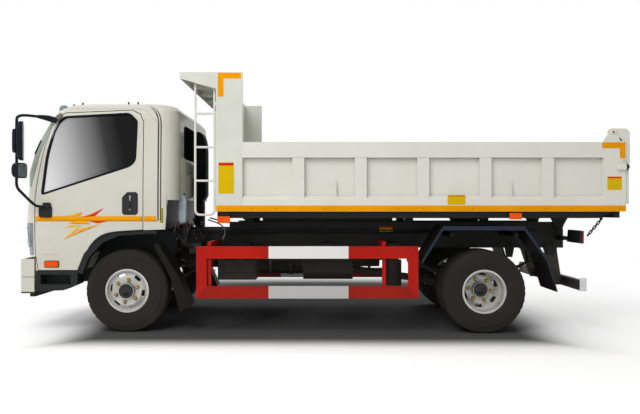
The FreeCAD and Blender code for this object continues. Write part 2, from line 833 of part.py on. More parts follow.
def leaf_springs():
    """Four springs, each clamped to its axle."""
    front_seat = z.tyre_radius + z.boss_height / 2 - z.axle_drop
    rear_seat = z.tyre_radius + z.axle_tube_radius + 14
    rear_axle_x = z.front_axle_x + z.wheelbase
    parts = leaf_spring("front_spring", z.front_axle_x, front_seat, z.front_spring_half,
                        z.front_eye_z, 4)
    parts += leaf_spring("rear_spring", rear_axle_x, rear_seat, z.rear_spring_half,
                         z.rear_eye_z, 5)
    half = z.spring_width / 2
    saddle_low = (rear_axle_x - 60, z.rail_centre_y - half, z.tyre_radius + z.axle_tube_radius)
    saddle_high = (rear_axle_x + 60, z.rail_centre_y + half, rear_seat)
    parts.append(bar("rear_saddle", saddle_low, saddle_high))
    for name, at_x, seat, leaves in (("front", z.front_axle_x, front_seat, 4),
                                     ("rear", rear_axle_x, rear_seat, 5)):
        top = seat + z.leaf_thickness * leaves
        parts.append(bar(name + "_clamp", (at_x - 58, z.rail_centre_y - half - 6, top),
                         (at_x + 58, z.rail_centre_y + half + 6, top + 22)))
    node("leaf_springs", pair("leaf_springs_item", join("spring_side", parts)))


def drive_line():
    """Gearbox behind the engine, propeller shaft and its joints."""
    parts = [bar("gearbox", (z.engine_rear_x, -150, z.engine_bottom_z + 30),
                 (z.engine_rear_x + 620, 150, z.engine_top_z - 170))]
    axle_nose_x = z.front_axle_x + z.wheelbase - z.nose_length
    start = Vector(z.engine_rear_x.number + 620, 0, z.engine_bottom_z.number + 190)
    end = Vector(axle_nose_x.number - 16, 0, z.tyre_radius.number)
    run = end - start
    shaft = doc.addObject("Part::Cylinder", "prop_shaft")
    bind(shaft, "Radius", z.shaft_radius)
    shaft.Height = run.Length
    shaft.Placement = FreeCAD.Placement(start, Rotation(Vector(0, 0, 1), run))
    parts.append(shaft)
    for tag, share in (("front", 0.0), ("rear", 0.955)):
        yoke = doc.addObject("Part::Cylinder", "yoke_" + tag)
        bind(yoke, "Radius", z.shaft_radius + 22)
        yoke.Height = run.Length * 0.045
        place = start + run * share
        yoke.Placement = FreeCAD.Placement(place, Rotation(Vector(0, 0, 1), run))
        parts.append(yoke)
    parts.append(rod("pinion_flange", 56, 26, (axle_nose_x - 26, 0, z.tyre_radius), "x"))
    node("drive_line", join("drive_line_item", parts))


def engine_block():
    """The engine as one plain block at its real place and size."""
    node("engine_block", bar("engine_block_item",
                             (z.engine_front_x, -z.engine_half_width, z.engine_bottom_z),
                             (z.engine_rear_x, z.engine_half_width, z.engine_top_z)))


def side_stores():
    """Battery box and air tank on the left, fuel tank and silencer on the right."""
    wall_y = z.rail_centre_y + z.rail_flange / 2
    near = wall_y + 130
    left = []
    battery = bar("battery_body", (-1020, -860, 505), (-640, -near, 705))
    battery_lid = bar("battery_lid", (-1030, -870, 705), (-630, -near + 10, 725))
    battery_arm = bar("battery_arm", (-930, -near - 20, 640), (-730, -wall_y, 860))
    left += [battery, battery_lid, battery_arm]
    tank = rod("air_tank_body", 100, 500, (-170, -730, 600), "x")
    arm = bar("air_tank_arm", (30, -wall_y - 230, 640), (110, -wall_y, 860))
    can = rod("air_dryer", 82, 260, (755, -650, 430))
    can_arm = bar("air_dryer_arm", (700, -650, 640), (810, -wall_y, 860))
    node("air_and_battery", join("air_and_battery_item", left + [tank, arm, can, can_arm]))
    fuel = bar("fuel_body", (-1000, near - 60, 430), (-180, 950, 800))
    fuel = fillet_box(fuel, 60, "x")
    straps = [bar("fuel_strap_%d" % i, (at_x, wall_y, 700), (at_x + 50, near, 860))
              for i, at_x in enumerate((-850, -380))]
    node("fuel_tank", join("fuel_tank_item", [fuel] + straps))
    muffler = rod("muffler", 110, 560, (160, 650, 620), "x")
    tail = rod("tail_pipe", 34, 190, (720, 650, 620), "x")
    hanger = bar("muffler_arm", (380, wall_y, 700), (440, 660, 860))
    down = rod("exhaust_pipe", 34, 340, (-179, 497, 620), "x")
    elbow = bar("exhaust_joint", (120, 463, 586), (180, 690, 654))
    node("exhaust", join("exhaust_item", [muffler, tail, hanger, down, elbow]))


def fillet_box(item, radius, axis):
    """Round the four edges of a box that run along one axis."""
    doc.recompute()
    result = doc.addObject("Part::Fillet", item.Name + "_rounded")
    result.Base = item
    edges = [i + 1 for i, edge in enumerate(item.Shape.Edges) if runs_along(edge, axis)]
    result.Edges = [(i, float(radius), float(radius)) for i in edges]
    return result


def side_guards():
    """Frame-shaped guards between the wheels, with two posts to the chassis each."""
    depth = z.guard_depth
    outer_y = z.guard_half_width
    inner_y = outer_y - depth
    frame = bar("guard_frame", (z.guard_front_x, inner_y, z.guard_bottom_z),
                (z.guard_rear_x, outer_y, z.guard_top_z))
    window = bar("guard_window",
                 (z.guard_front_x + z.guard_end_width, inner_y - 1,
                  z.guard_bottom_z + z.guard_rail_height),
                 (z.guard_rear_x - z.guard_end_width, outer_y + 1,
                  z.guard_top_z - z.guard_rail_height))
    parts = [cut("guard_open_frame", frame, [window])]
    wall_y = z.rail_centre_y + z.rail_flange / 2
    for i, at_x in enumerate((-1098, 607)):
        parts.append(bar("guard_post_%d" % i, (at_x, inner_y - 30, z.guard_bottom_z + 30),
                         (at_x + 36, inner_y, z.rail_bottom_z + 90)))
        parts.append(bar("guard_arm_%d" % i, (at_x, wall_y, z.rail_bottom_z + 40),
                         (at_x + 36, inner_y, z.rail_bottom_z + 90)))
    node("side_guards", pair("side_guards_item", join("guard_side", parts)))


def band(name, path, wall, low_y, high_y):
    """A bent plate across the truck: a path in X and Z, thickened inwards by wall."""
    inner = [(u, v - wall) for u, v in path]
    return side_prism(name, path + list(reversed(inner)), low_y, high_y)


def mudguards():
    """Faceted fenders over the twin wheels, rear flaps, and flaps behind the front wheels."""
    outer = z.fender_half_width
    rear_x = z.front_axle_x + z.wheelbase
    path = [(rear_x - 610, 710), (rear_x - 403, 1045), (rear_x + 388, 1045), (rear_x + 607, 740)]
    skin = band("fender_skin", path, z.fender_wall * 1.8, z.fender_inner_y, outer)
    edge = band("fender_edge", path, 42, outer - z.fender_wall, outer)
    hang_x = rear_x + 607
    flap = side_prism("rear_flap", [
        (hang_x - 18, 752), (hang_x + 2, 752), (hang_x + 103, 410), (hang_x + 93, 405)],
        z.fender_inner_y, outer)
    wall_y = z.rail_centre_y + z.rail_flange / 2
    stays = []
    for i, at_x in enumerate((rear_x - 330, rear_x + 300)):
        stays.append(bar("fender_stay_%d" % i, (at_x, wall_y, 940),
                         (at_x + 40, z.fender_half_width - 40, 980)))
        stays.append(bar("fender_riser_%d" % i, (at_x, z.fender_inner_y + 60, 980),
                         (at_x + 40, z.fender_inner_y + 100, 1037)))
        stays.append(bar("fender_riser_out_%d" % i, (at_x, outer - 120, 980),
                         (at_x + 40, outer - 80, 1037)))
    front = front_mudguard()
    parts = [skin, edge, flap] + stays + front
    node("mudguards", pair("mudguards_item", join("mudguard_side", parts)))


def front_mudguard():
    """Moulded guard behind a front wheel, held by two arms from the frame."""
    x0 = z.front_axle_x
    wall_y = z.rail_centre_y + z.rail_flange / 2
    outline = [
        (x0 + 262, 862), (x0 + 437, 525), (x0 + 524, 196), (x0 + 634, 262), (x0 + 505, 560),
        (x0 + 300, 880),
    ]
    guard = side_prism("front_guard", outline, z.front_guard_inner_y, z.front_guard_outer_y)
    arm = bar("front_guard_arm", (x0 + 380, wall_y, 700), (x0 + 420, z.front_guard_inner_y + 30, 735))
    riser = bar("front_guard_riser", (x0 + 380, wall_y, 700), (x0 + 420, wall_y + 30, 860))
    return [guard, arm, riser]


def rear_underrun_bar():
    """Channel bar across the back on two drop brackets."""
    low, high = 410, 510
    points = [
        (2550, low), (2600, low), (2600, low + 8), (2558, low + 8), (2558, high - 8),
        (2600, high - 8), (2600, high), (2550, high),
    ]
    span = z.underrun_half_length
    parts = [side_prism("underrun_channel", points, -span, span)]
    inner = z.rail_centre_y + z.rail_flange / 2
    bracket = [(2350, 840), (2500, 840), (2550, high), (2550, low), (2500, low), (2420, 620)]
    parts.append(side_prism("underrun_bracket", bracket, inner, inner + 12))
    parts.append(side_prism("underrun_bracket_far", bracket, -inner - 12, -inner))
    node("rear_underrun_bar", join("rear_underrun_item", parts))


def tail_lamps():
    """Tail lamp housings on arms from the rail ends."""
    wall_y = z.rail_centre_y + z.rail_flange / 2
    shell = side_prism("lamp_shell", [
        (2548, 875), (2583, 869), (2596, 992), (2560, 1000)], 620, 960)
    arm = bar("lamp_arm", (2500, wall_y, 890), (2556, 640, 930))
    node("tail_lamps", pair("tail_lamps_item", join("lamp_side", [shell, arm])))


def front_bumper():
    """Wrap-round bumper shell with a lower lip, on two arms from the rails."""
    half = z.cab_half_width - z.bumper_inset
    depth = 30
    front = z.bumper_front_x
    plan = [
        (front, -430), (front + 18, -780), (front + 60, -half), (front + 190, -half),
        (front + 190, -half + depth), (front + 86, -half + depth), (front + 44, -760),
        (front + depth, -420), (front + depth, 420), (front + 44, 760),
        (front + 86, half - depth), (front + 190, half - depth), (front + 190, half),
        (front + 60, half), (front + 18, 780), (front, 430),
    ]
    shell = prism("bumper_shell", "xy", plan, z.bumper_bottom_z,
                  z.bumper_top_z - z.bumper_bottom_z)
    arm = bar("bumper_arm", (front + depth, 340, 560), (z.rail_front_x + 60, 400, 640))
    riser = bar("bumper_riser", (z.rail_front_x, 340, 560), (z.rail_front_x + 60, 400, 712))
    arms = pair("bumper_arms", join("bumper_arm_side", [arm, riser]))
    notch = bar("bumper_notch", (front + 8, z.cab_lug_y - 8, 690),
                (front + 90, z.cab_lug_y + 46, 730))
    notches = pair("bumper_notches", notch)
    solid = join("front_bumper_solid", [shell, arms])
    node("front_bumper", cut("front_bumper_item", solid, [notches]))


def air_intake():
    """Raised intake with its box, standing on the frame behind the cab."""
    pipe = bar("intake_pipe", (-1360, -300, 1300), (-1225, 0, 2040))
    neck = bar("intake_neck", (-1340, -260, 1000), (-1245, -60, 1300))
    foot = bar("intake_foot", (-1340, -z.rail_centre_y, 1000), (-1245, -60, 1020))
    node("air_intake", join("air_intake_item", [fillet_box(pipe, 30, "z"), neck, foot]))


def build_chassis():
    """Everything fixed to the frame."""
    frame_rails()
    tipper_subframe()
    leaf_springs()
    drive_line()
    engine_block()
    side_stores()
    side_guards()
    mudguards()
    rear_underrun_bar()
    tail_lamps()
    front_bumper()
    air_intake()


# ---------------------------------------------------------------- bed

def bed_tub():
    """Floor and both sides: inner sheet, top and bottom rails, stakes and rear posts."""
    outer = z.bed_half_width
    inner = outer - z.bed_side_depth
    low = z.bed_bottom_z
    high = low + z.bed_side_height
    front = z.bed_front_x + z.front_post_width
    rear = z.bed_rear_x
    sheet_y = inner + z.bed_sheet
    parts = [bar("side_sheet", (front, inner, low), (rear, sheet_y, high))]
    ledge = z.rail_ledge
    bottom_rail = [
        (inner, low), (outer, low), (outer, low + z.bed_rail_height - ledge),
        (outer - ledge, low + z.bed_rail_height), (inner, low + z.bed_rail_height),
    ]
    parts.append(prism("bottom_rail", "yz", bottom_rail, front, rear - front))
    parts.append(bar("top_rail", (front, inner, high - z.bed_rail_height), (rear, outer, high)))
    for i in range(5):
        at_x = z.front_stake_x + i * z.stake_pitch
        parts.append(bar("stake_%d" % i,
                         (at_x - z.stake_width / 2, inner, low + z.bed_rail_height - ledge),
                         (at_x + z.stake_width / 2, outer - 4, high - z.bed_rail_height)))
    parts.append(bar("rear_post", (rear - z.rear_post_width, inner, low), (rear, outer, high)))
    parts += gate_brackets(inner, outer, high)
    side = join("bed_side", parts)
    floor = bar("bed_floor", (z.bed_front_x + z.headboard_depth, -inner, low),
                (rear, inner, low + z.bed_floor_wall))
    node("bed_tub", join("bed_tub_item", [floor, pair("bed_sides", side)]))


def gate_brackets(inner, outer, high):
    """Bracket on top of the rear corner with the pin that the tailgate hangs on."""
    x0 = z.gate_pin_x
    radius = z.gate_ear_radius
    near = outer - z.gate_bracket_wall - 2
    plate = side_prism("gate_bracket", [
        (x0 - 92, high), (x0 - 80, high + 22), (x0 - radius, z.gate_pin_z - 8),
        (x0 + radius, z.gate_pin_z - 8), (x0 + 70, high + 22), (x0 + 82, high),
    ], near, near + z.gate_bracket_wall)
    head = rod("gate_bracket_head", radius, z.gate_bracket_wall, (x0, near, z.gate_pin_z), "y")
    pin = rod("gate_pin", z.gate_pin_radius, z.gate_pin_length,
              (x0, near + z.gate_bracket_wall - z.gate_pin_length, z.gate_pin_z), "y")
    return [plate, head, pin]


def tailgate():
    """Top-hung gate: skin with a frame and ribs behind it, on two gooseneck ears."""
    x0 = z.bed_rear_x + z.seat_gap
    x1 = x0 + z.gate_wall
    low = z.gate_bottom_z
    high = z.bed_bottom_z + z.bed_side_height - 4
    half = z.gate_half_width
    parts = [bar("gate_skin", (x0, -half, low), (x0 + 6, half, high))]
    for tag, bottom, top in (("low", low, low + 90), ("high", high - 90, high),
                             ("mid", (low + high) / 2 - 30, (low + high) / 2 + 30)):
        parts.append(bar("gate_rail_" + tag, (x0, -half, bottom), (x1, half, top)))
    for i in range(5):
        at_y = -half + i * (2 * half - 90) / 4
        parts.append(bar("gate_rib_%d" % i, (x0, at_y, low), (x1, at_y + 90, high)))
    solid = join("gate_panel", parts)
    ear_high = z.bed_half_width - z.gate_bracket_wall - 2 - z.running_gap
    ear_low = ear_high - z.gate_ear_wall
    pin_x = z.gate_pin_x
    pin_z = z.gate_pin_z
    radius = z.gate_ear_radius
    ear = side_prism("gate_ear_plate", [
        (pin_x, pin_z + radius), (pin_x, pin_z - radius), (pin_x + 96, pin_z - radius - 24),
        (x0, high + 18), (x0, low + 396), (x1 + 13, low + 396), (x1 + 13, pin_z + radius - 32),
        (x1 - 20, pin_z + radius),
    ], ear_low, ear_high)
    head = rod("gate_ear_head", radius, z.gate_ear_wall, (pin_x, ear_low, pin_z), "y")
    bore = rod("gate_ear_bore", z.gate_pin_radius + z.pin_clearance, z.gate_ear_wall + 2,
               (pin_x, ear_low - 1, pin_z), "y")
    ears = pair("gate_ears", cut("gate_ear", join("gate_ear_solid", [ear, head]), [bore]))
    node("tailgate", join("tailgate_item", [solid, ears]))


def headboard():
    """Front wall with its tall posts, and the guard canopy over the cab."""
    outer = z.bed_half_width
    inner = outer - z.bed_side_depth
    low = z.bed_bottom_z
    front = z.bed_front_x
    depth = z.headboard_depth
    top = z.headboard_top_z
    wall = z.canopy_wall
    parts = [bar("front_sheet", (front + depth - z.bed_floor_wall, -inner, low),
                 (front + depth, inner, top))]
    for i, at_z in enumerate((low, low + 420, low + 840, top - 90)):
        parts.append(bar("front_rib_%d" % i, (front, -inner, at_z), (front + depth, inner, at_z + 80)))
    for i in range(4):
        at_y = -inner + 300 + i * (2 * inner - 600 - 70) / 3
        parts.append(bar("front_stay_%d" % i, (front + 8, at_y, low), (front + depth, at_y + 70, top)))
    post = bar("front_post", (front, outer - 34, low), (front + z.front_post_width, outer, top))
    post_frame = bar("front_post_edge", (front, inner, low), (front + depth, outer, top))
    post_low = bar("front_post_low", (front, inner, low),
                   (front + z.front_post_width, outer, low + z.bed_side_height))
    flange = side_prism("canopy_flange", [
        (z.canopy_front_x, top - z.canopy_lip), (front, top - 160), (front, top),
        (z.canopy_front_x, top),
    ], outer - wall, outer)
    sides = pair("headboard_sides", join("headboard_side", [post, post_frame, post_low, flange]))
    parts.append(sides)
    parts.append(bar("canopy_top", (z.canopy_front_x, -outer, top - wall), (front + depth, outer, top)))
    parts.append(bar("canopy_lip", (z.canopy_front_x, -outer, top - z.canopy_lip),
                     (z.canopy_front_x + wall, outer, top)))
    for i in range(3):
        at_y = -450 + 450 * i - 25
        parts.append(bar("canopy_rib_%d" % i, (z.canopy_front_x, at_y, top - 46),
                         (front, at_y + 50, top)))
    node("headboard", join("headboard_item", parts))


def bed_underframe():
    """Long beams, cross bearers and side sills below the floor, with the tipping ears."""
    low = z.beam_bottom_z
    high = z.bed_bottom_z
    outer = z.rail_centre_y + z.rail_flange / 2
    inner = outer - z.rail_flange
    sill = z.bed_half_width - z.bed_side_depth
    parts = [bar("long_beam", (z.bed_front_x, inner, low), (z.tip_pivot_x + 260, outer, high))]
    parts.append(side_prism("side_sill", [
        (z.bed_front_x + 20, low + 4), (z.bed_rear_x - 270, low + 4), (z.bed_rear_x - 80, high),
        (z.bed_front_x + 20, high),
    ], sill - 70, sill))
    ear_y = outer + z.running_gap
    ear = side_prism("tip_ear_plate", [
        (z.tip_pivot_x - 130, high), (z.tip_pivot_x - 46, z.tip_pivot_z),
        (z.tip_pivot_x + 46, z.tip_pivot_z), (z.tip_pivot_x + 130, high),
    ], ear_y, ear_y + z.tip_ear_wall)
    head = rod("tip_ear_head", 46, z.tip_ear_wall, (z.tip_pivot_x, ear_y, z.tip_pivot_z), "y")
    bore = rod("tip_ear_bore", z.tip_pin_radius + z.pin_clearance, z.tip_ear_wall + 2,
               (z.tip_pivot_x, ear_y - 1, z.tip_pivot_z), "y")
    tie = bar("tip_ear_tie", (z.tip_pivot_x - 125, outer, low + 6),
              (z.tip_pivot_x + 125, ear_y + z.tip_ear_wall, high))
    parts.append(cut("tip_ear", join("tip_ear_solid", [ear, head, tie]), [bore]))
    side = join("underframe_side", parts)
    both = [pair("underframe_sides", side)]
    for i, at_x in enumerate((-1000, -640, -208, 406, 1008, 1450, 1740, 2201, 2640, 2860)):
        both.append(bar("bearer_%d" % i, (at_x, -sill + 10, low + 8), (at_x + 60, sill - 10, high)))
    both += hoist_ears(low, high)
    both += chain()
    node("bed_underframe", join("bed_underframe_item", both))


def hoist_ears(low, high):
    """Two plates below the bed that the hoist rod's eye works between."""
    half = z.rod_eye_width / 2 + z.running_gap
    x0 = z.hoist_eye_x
    points = [
        (x0 - 150, high), (x0 - 150, low + 8), (x0 - 60, z.hoist_eye_z - 60),
        (x0 + 60, z.hoist_eye_z - 60), (x0 + 200, low + 8), (x0 + 200, high),
    ]
    return [side_prism("hoist_ear_left", points, -half - 14, -half),
            side_prism("hoist_ear_right", points, half, half + 14)]


def chain():
    """Safety chain: flat-sided links, each turned a quarter about the line, hung from a lug."""
    x0 = z.chain_top_x.number
    z0 = z.beam_bottom_z.number + 4
    wire = z.chain_wire.number
    pitch = z.chain_link_length.number - 2 * wire - z.seat_gap.number
    lean = Rotation(Vector(0, 1, 0), z.chain_lean.number)
    lug_low = (x0 - 62, -z.chain_y - wire / 2, z0)
    lug_high = (x0 + 14, -z.chain_y + wire / 2, z0 + 60)
    hook = bar("chain_hook", (x0 - 14, -z.chain_y - wire / 2, z0 - 16),
               (x0 + 14, -z.chain_y + wire / 2, z0 + 8))
    parts = [bar("chain_lug", lug_low, lug_high), hook]
    for i in range(CHAIN_LINKS):
        body = doc.addObject("PartDesign::Body", "chain_link_%d" % i)
        sketch = sketch_on(body, "chain_link_outline_%d" % i, "xz", -z.chain_wire / 2)
        for inset in (0, z.chain_wire):
            long = z.chain_link_length / 2 - inset
            wide = z.chain_link_width / 2 - inset
            trim = 9 - as_size(inset) * 0.6
            polygon(sketch, [
                (wide, trim - long), (wide, long - trim), (wide - trim, long), (trim - wide, long),
                (-wide, long - trim), (-wide, trim - long), (trim - wide, -long),
                (wide - trim, -long),
            ])
        pad = body.newObject("PartDesign::Pad", "chain_link_pad_%d" % i)
        pad.Profile = sketch
        bind(pad, "Length", z.chain_wire)
        twist = Rotation(Vector(0, 0, 1), 90 * (i % 2) + 90)
        drop = lean.multVec(Vector(0, 0, -pitch * i - pitch / 2))
        body.Placement = FreeCAD.Placement(Vector(x0, -z.chain_y.number, z0 - 12) + drop,
                                           lean * twist)
        parts.append(body)
    return parts


def ladder():
    """Tube ladder on the left front post: a rounded loop with three rungs and two stand-offs."""
    radius = z.ladder_tube_radius
    corner = z.ladder_corner
    at_y = -(z.bed_half_width - 60)
    x0 = z.ladder_front_x + radius
    x1 = z.ladder_rear_x - radius
    z0 = z.ladder_bottom_z + radius
    z1 = z.ladder_top_z - radius
    parts = [
        rod("ladder_front", radius, z1 - z0 - 2 * corner, (x0, at_y, z0 + corner)),
        rod("ladder_rear", radius, z1 - z0 - 2 * corner, (x1, at_y, z0 + corner)),
        rod("ladder_foot", radius, x1 - x0 - 2 * corner, (x0 + corner, at_y, z0), "x"),
        rod("ladder_head", radius, x1 - x0 - 2 * corner, (x0 + corner, at_y, z1), "x"),
    ]
    for i, share in enumerate((0.255, 0.506, 0.758)):
        parts.append(rod("ladder_rung_%d" % i, radius, x1 - x0,
                         (x0, at_y, z0 + (z1 - z0) * share), "x"))
    for tag, at_x, at_z, turn in (("a", x0 + corner, z0 + corner, 90), ("b", x1 - corner, z0 + corner, 0),
                                  ("c", x1 - corner, z1 - corner, 270),
                                  ("d", x0 + corner, z1 - corner, 180)):
        bend = doc.addObject("Part::Torus", "ladder_bend_" + tag)
        bind(bend, "Radius1", corner)
        bind(bend, "Radius2", radius)
        bend.Angle3 = 90
        flat = Rotation(Vector(1, 0, 0), -90) * Rotation(Vector(0, 0, 1), turn)
        parts.append(put(bend, (at_x, at_y, at_z), flat))
    for i, at_z in enumerate((z0 + 260, z1 - 240)):
        parts.append(bar("ladder_mount_%d" % i, (x1, at_y - 9, at_z), (z.bed_front_x, at_y + 9, at_z + 40)))
    node("ladder", join("ladder_item", parts))


# ---------------------------------------------------------------- hoist

def hoist():
    """Tipping cylinder between the frame and the bed, drawn along its own line."""
    foot = Vector(z.hoist_foot_x.number, 0, z.hoist_foot_z.number)
    eye = Vector(z.hoist_eye_x.number, 0, z.hoist_eye_z.number)
    run = (eye - foot).Length
    line = (eye - foot).normalize()
    turn = Rotation(Vector(0, 0, 1), line)

    def along(name, radius, start, length):
        item = doc.addObject("Part::Cylinder", name)
        bind(item, "Radius", radius)
        item.Height = length
        item.Placement = FreeCAD.Placement(foot + line * start, turn)
        return item

    half = z.barrel_eye_width / 2
    gland = run - z.gland_reach.number
    shell = along("barrel_shell", z.barrel_radius, 60, gland - 60)
    cap = along("barrel_gland", z.barrel_radius + 8, gland - 50, 50)
    base = along("barrel_base", z.barrel_radius - 14, 10, 60)
    foot_eye = rod("barrel_foot_eye", 42, z.barrel_eye_width, (foot.x, -half, foot.z), "y")
    foot_bore = rod("barrel_foot_bore", z.hoist_pin_radius + z.pin_clearance,
                    2 * z.barrel_radius, (foot.x, -z.barrel_radius, foot.z), "y")
    bore = along("barrel_bore", z.barrel_radius - 9, 96, gland - 96 - 30)
    guide = along("barrel_guide", z.piston_rod_radius + z.pin_clearance, 96, gland)
    solid = join("barrel_solid", [shell, cap, base, foot_eye])
    node("hoist_barrel", cut("hoist_barrel_item", solid, [foot_bore, bore, guide]))
    piston = along("piston_rod", z.piston_rod_radius, 110, run - 110 - 20)
    width = z.rod_eye_width - 8
    eye_ring = rod("rod_eye", z.rod_eye_radius, width, (eye.x, -width / 2, eye.z), "y")
    stub = rod("rod_stub_pin", z.hoist_pin_radius, z.rod_eye_width, (eye.x, -z.rod_eye_width / 2, eye.z),
               "y")
    node("hoist_rod", join("hoist_rod_item", [piston, eye_ring, stub]))


def build_bed():
    """The tipping body with its hoist."""
    bed_tub()
    tailgate()
    headboard()
    bed_underframe()
    ladder()
    hoist()


# ---------------------------------------------------------------- cab

# height, setback of the front corner, tuck of each side, front corner radius, tuck of the rear
CAB_SECTIONS = (
    (604, 46, 13, 110, 0),
    (1025, 0, 0, 114, 0),
    (1400, 26, 0, 108, 0),
    (1757, 123, 13, 105, 0),
    (2100, 264, 30, 110, 0),
    (2190, 314, 50, 120, 8),
    (2240, 384, 100, 130, 50),
    (2270, 494, 195, 140, 130),
    (2285, 664, 375, 150, 270),
)

# x, height of the door's outline, from the front lower corner upwards and round to the arch
DOOR_OUTLINE = (
    (-2772, 604), (-2800, 800), (-2800, 1300), (-2775, 1500), (-2728, 1757), (-2655, 2020),
    (-2592, 2125), (-2505, 2163), (-1850, 2192), (-1766, 2150), (-1732, 2070), (-1732, 1003),
    (-2025, 981), (-2184, 911), (-2312, 767), (-2379, 604),
)

# x, height of the side window in the door
WINDOW_OUTLINE = (
    (-2724, 1358), (-2679, 1741), (-2615, 1980), (-2560, 2076), (-2504, 2116), (-1881, 2151),
    (-1804, 2076), (-1817, 1690), (-1866, 1637),
)

# x, height of the cab's lower edge over the wheel
ARCH = ((-2379, 604), (-2312, 767), (-2184, 911), (-2025, 981), (-1738, 1003), (-1561, 1010))


def cab_section(height, setback, tuck, corner, rear_tuck, inset):
    """One closed plan outline of the cab: bowed front, round corners, flat sides and rear."""
    front = z.cab_front_x.number + setback + inset
    half = z.cab_half_width.number - tuck - inset
    rear = z.cab_rear_x.number - rear_tuck - inset
    bow = z.cab_bow.number
    near = max(corner - 1.7 * inset, 30)
    far = max(z.cab_rear_corner.number - inset, 30)
    slant = 1 - math.sqrt(0.5)

    def at(x, y):
        return Vector(x, y, height)

    edges = [
        Part.Arc(at(front, near - half), at(front - bow, 0), at(front, half - near)),
        Part.Arc(at(front, half - near), at(front + near * slant, half - near * slant),
                 at(front + near, half)),
        Part.LineSegment(at(front + near, half), at(rear - far, half)),
        Part.Arc(at(rear - far, half), at(rear - far * slant, half - far * slant),
                 at(rear, half - far)),
        Part.LineSegment(at(rear, half - far), at(rear, far - half)),
        Part.Arc(at(rear, far - half), at(rear - far * slant, far * slant - half),
                 at(rear - far, -half)),
        Part.LineSegment(at(rear - far, -half), at(front + near, -half)),
        Part.Arc(at(front + near, -half), at(front + near * slant, near * slant - half),
                 at(front, near - half)),
    ]
    return Part.Wire([edge.toShape() for edge in edges])


def cab_loft(inset):
    """The cab's closed form, drawn in from its skin by inset."""
    wires = []
    for i, (height, setback, tuck, corner, rear_tuck) in enumerate(CAB_SECTIONS):
        if i == 0:
            height += inset
        elif height > 2150:
            height -= inset
        wires.append(cab_section(height, setback, tuck, corner, rear_tuck, inset))
    return Part.makeLoft(wires, True, True)


def side_plate(points, low_y, high_y):
    """A plain prism from an outline in X and height, between two planes of Y."""
    corners = [Vector(x, low_y, height) for x, height in points]
    face = Part.Face(Part.makePolygon(corners + corners[:1]))
    return face.extrude(Vector(0, high_y - low_y, 0))


def grown(points, amount):
    """An outline in X and height, offset outwards (or inwards, when negative)."""
    corners = [Vector(x, height, 0) for x, height in points]
    face = Part.Face(Part.makePolygon(corners + corners[:1]))
    result = face.makeOffset2D(amount, 2)
    ring = Part.Wire(Part.sortEdges(result.Edges)[0])
    return [(vertex.Point.x, vertex.Point.y) for vertex in ring.OrderedVertexes]


def side_slab(side, near, far):
    """The space between two depths below the cab's side skin, along the whole cab."""
    rows = [row for row in CAB_SECTIONS if row[0] <= 2190]
    skin = [(z.cab_half_width.number - row[2], row[0]) for row in rows]
    skin = [(skin[0][0], skin[0][1] - 200)] + skin + [(skin[-1][0] - 20, skin[-1][1] + 60)]
    outline = [(y - near, height) for y, height in skin]
    outline += [(y - far, height) for y, height in reversed(skin)]
    corners = [Vector(-3100, side * y, height) for y, height in outline]
    face = Part.Face(Part.makePolygon(corners + corners[:1]))
    return face.extrude(Vector(2000, 0, 0))


def box_between(low, high):
    """A plain box between two corners."""
    size = [high[i] - low[i] for i in range(3)]
    return Part.makeBox(size[0], size[1], size[2], Vector(*low))


def under_cab(grow):
    """What the cab leaves open below: wheel arches, tunnel and the notch behind the seats."""
    arch = list(ARCH)
    shifted = [(x - grow, height + grow) for x, height in arch]
    points = [(shifted[0][0], 400)] + shifted
    points += [(-1520 - grow, 1010 + grow), (-1500 - grow, 1300 + grow), (-1300, 1300 + grow),
               (-1300, 400)]
    reach = z.cab_half_width.number + 125
    arches = side_plate(points, -reach, reach)
    floor = z.cab_floor_z.number
    tunnel_half = z.cab_tunnel_half.number
    tunnel = box_between((-2882 - grow, -tunnel_half - grow, 400),
                         (-1300, tunnel_half + grow, floor + grow))
    nose = box_between((-3100, -reach, 400),
                       (-2790 + grow, reach, z.cab_front_bottom_z.number + grow))
    return arches.fuse([tunnel, nose])


def cab_shell_parts():
    """The cab's skin with its openings, and the pieces that fill them."""
    wall = z.cab_wall.number
    skin = cab_loft(0).cut(under_cab(0))
    hollow = cab_loft(wall).cut(under_cab(wall))
    shell = skin.cut(hollow)
    gap = z.door_gap.number
    doors = {}
    for side in (LEFT, RIGHT):
        reach = (min(side * 1200, side * 600), max(side * 1200, side * 600))
        slab = side_slab(side, -60, wall)
        opening = side_plate(DOOR_OUTLINE, *reach).common(slab)
        panel = side_plate(grown(DOOR_OUTLINE, -gap), *reach).common(slab)
        window = side_plate(WINDOW_OUTLINE, *reach)
        doors[side] = skin.common(panel).cut(window)
        shell = shell.cut(opening)
        outer_ring = side_plate(grown(DOOR_OUTLINE, 14), *reach)
        middle = side_plate(DOOR_OUTLINE, *reach)
        inner_ring = side_plate(grown(DOOR_OUTLINE, -22), *reach)
        jamb = outer_ring.cut(middle).common(side_slab(side, wall - 2, wall + 10))
        lip = middle.cut(inner_ring).common(side_slab(side, wall + z.seat_gap.number, wall + 10))
        shell = shell.fuse([jamb.common(skin), lip.common(skin)])
    screen = screen_outline()
    shell = shell.cut(screen)
    rear = box_between((-1700, -z.rear_window_half.number, 1560),
                       (-1300, z.rear_window_half.number, 2060))
    shell = shell.cut(rear)
    return shell, skin, doors, screen, rear


def screen_outline():
    """The windscreen opening, as a prism along X."""
    half = z.cab_half_width.number - 125
    outline = ((-half, 1425), (half, 1425), (half - 50, 2105), (50 - half, 2105))
    corners = [Vector(-3100, y, height) for y, height in outline]
    face = Part.Face(Part.makePolygon(corners + corners[:1]))
    return face.extrude(Vector(700, 0, 0))


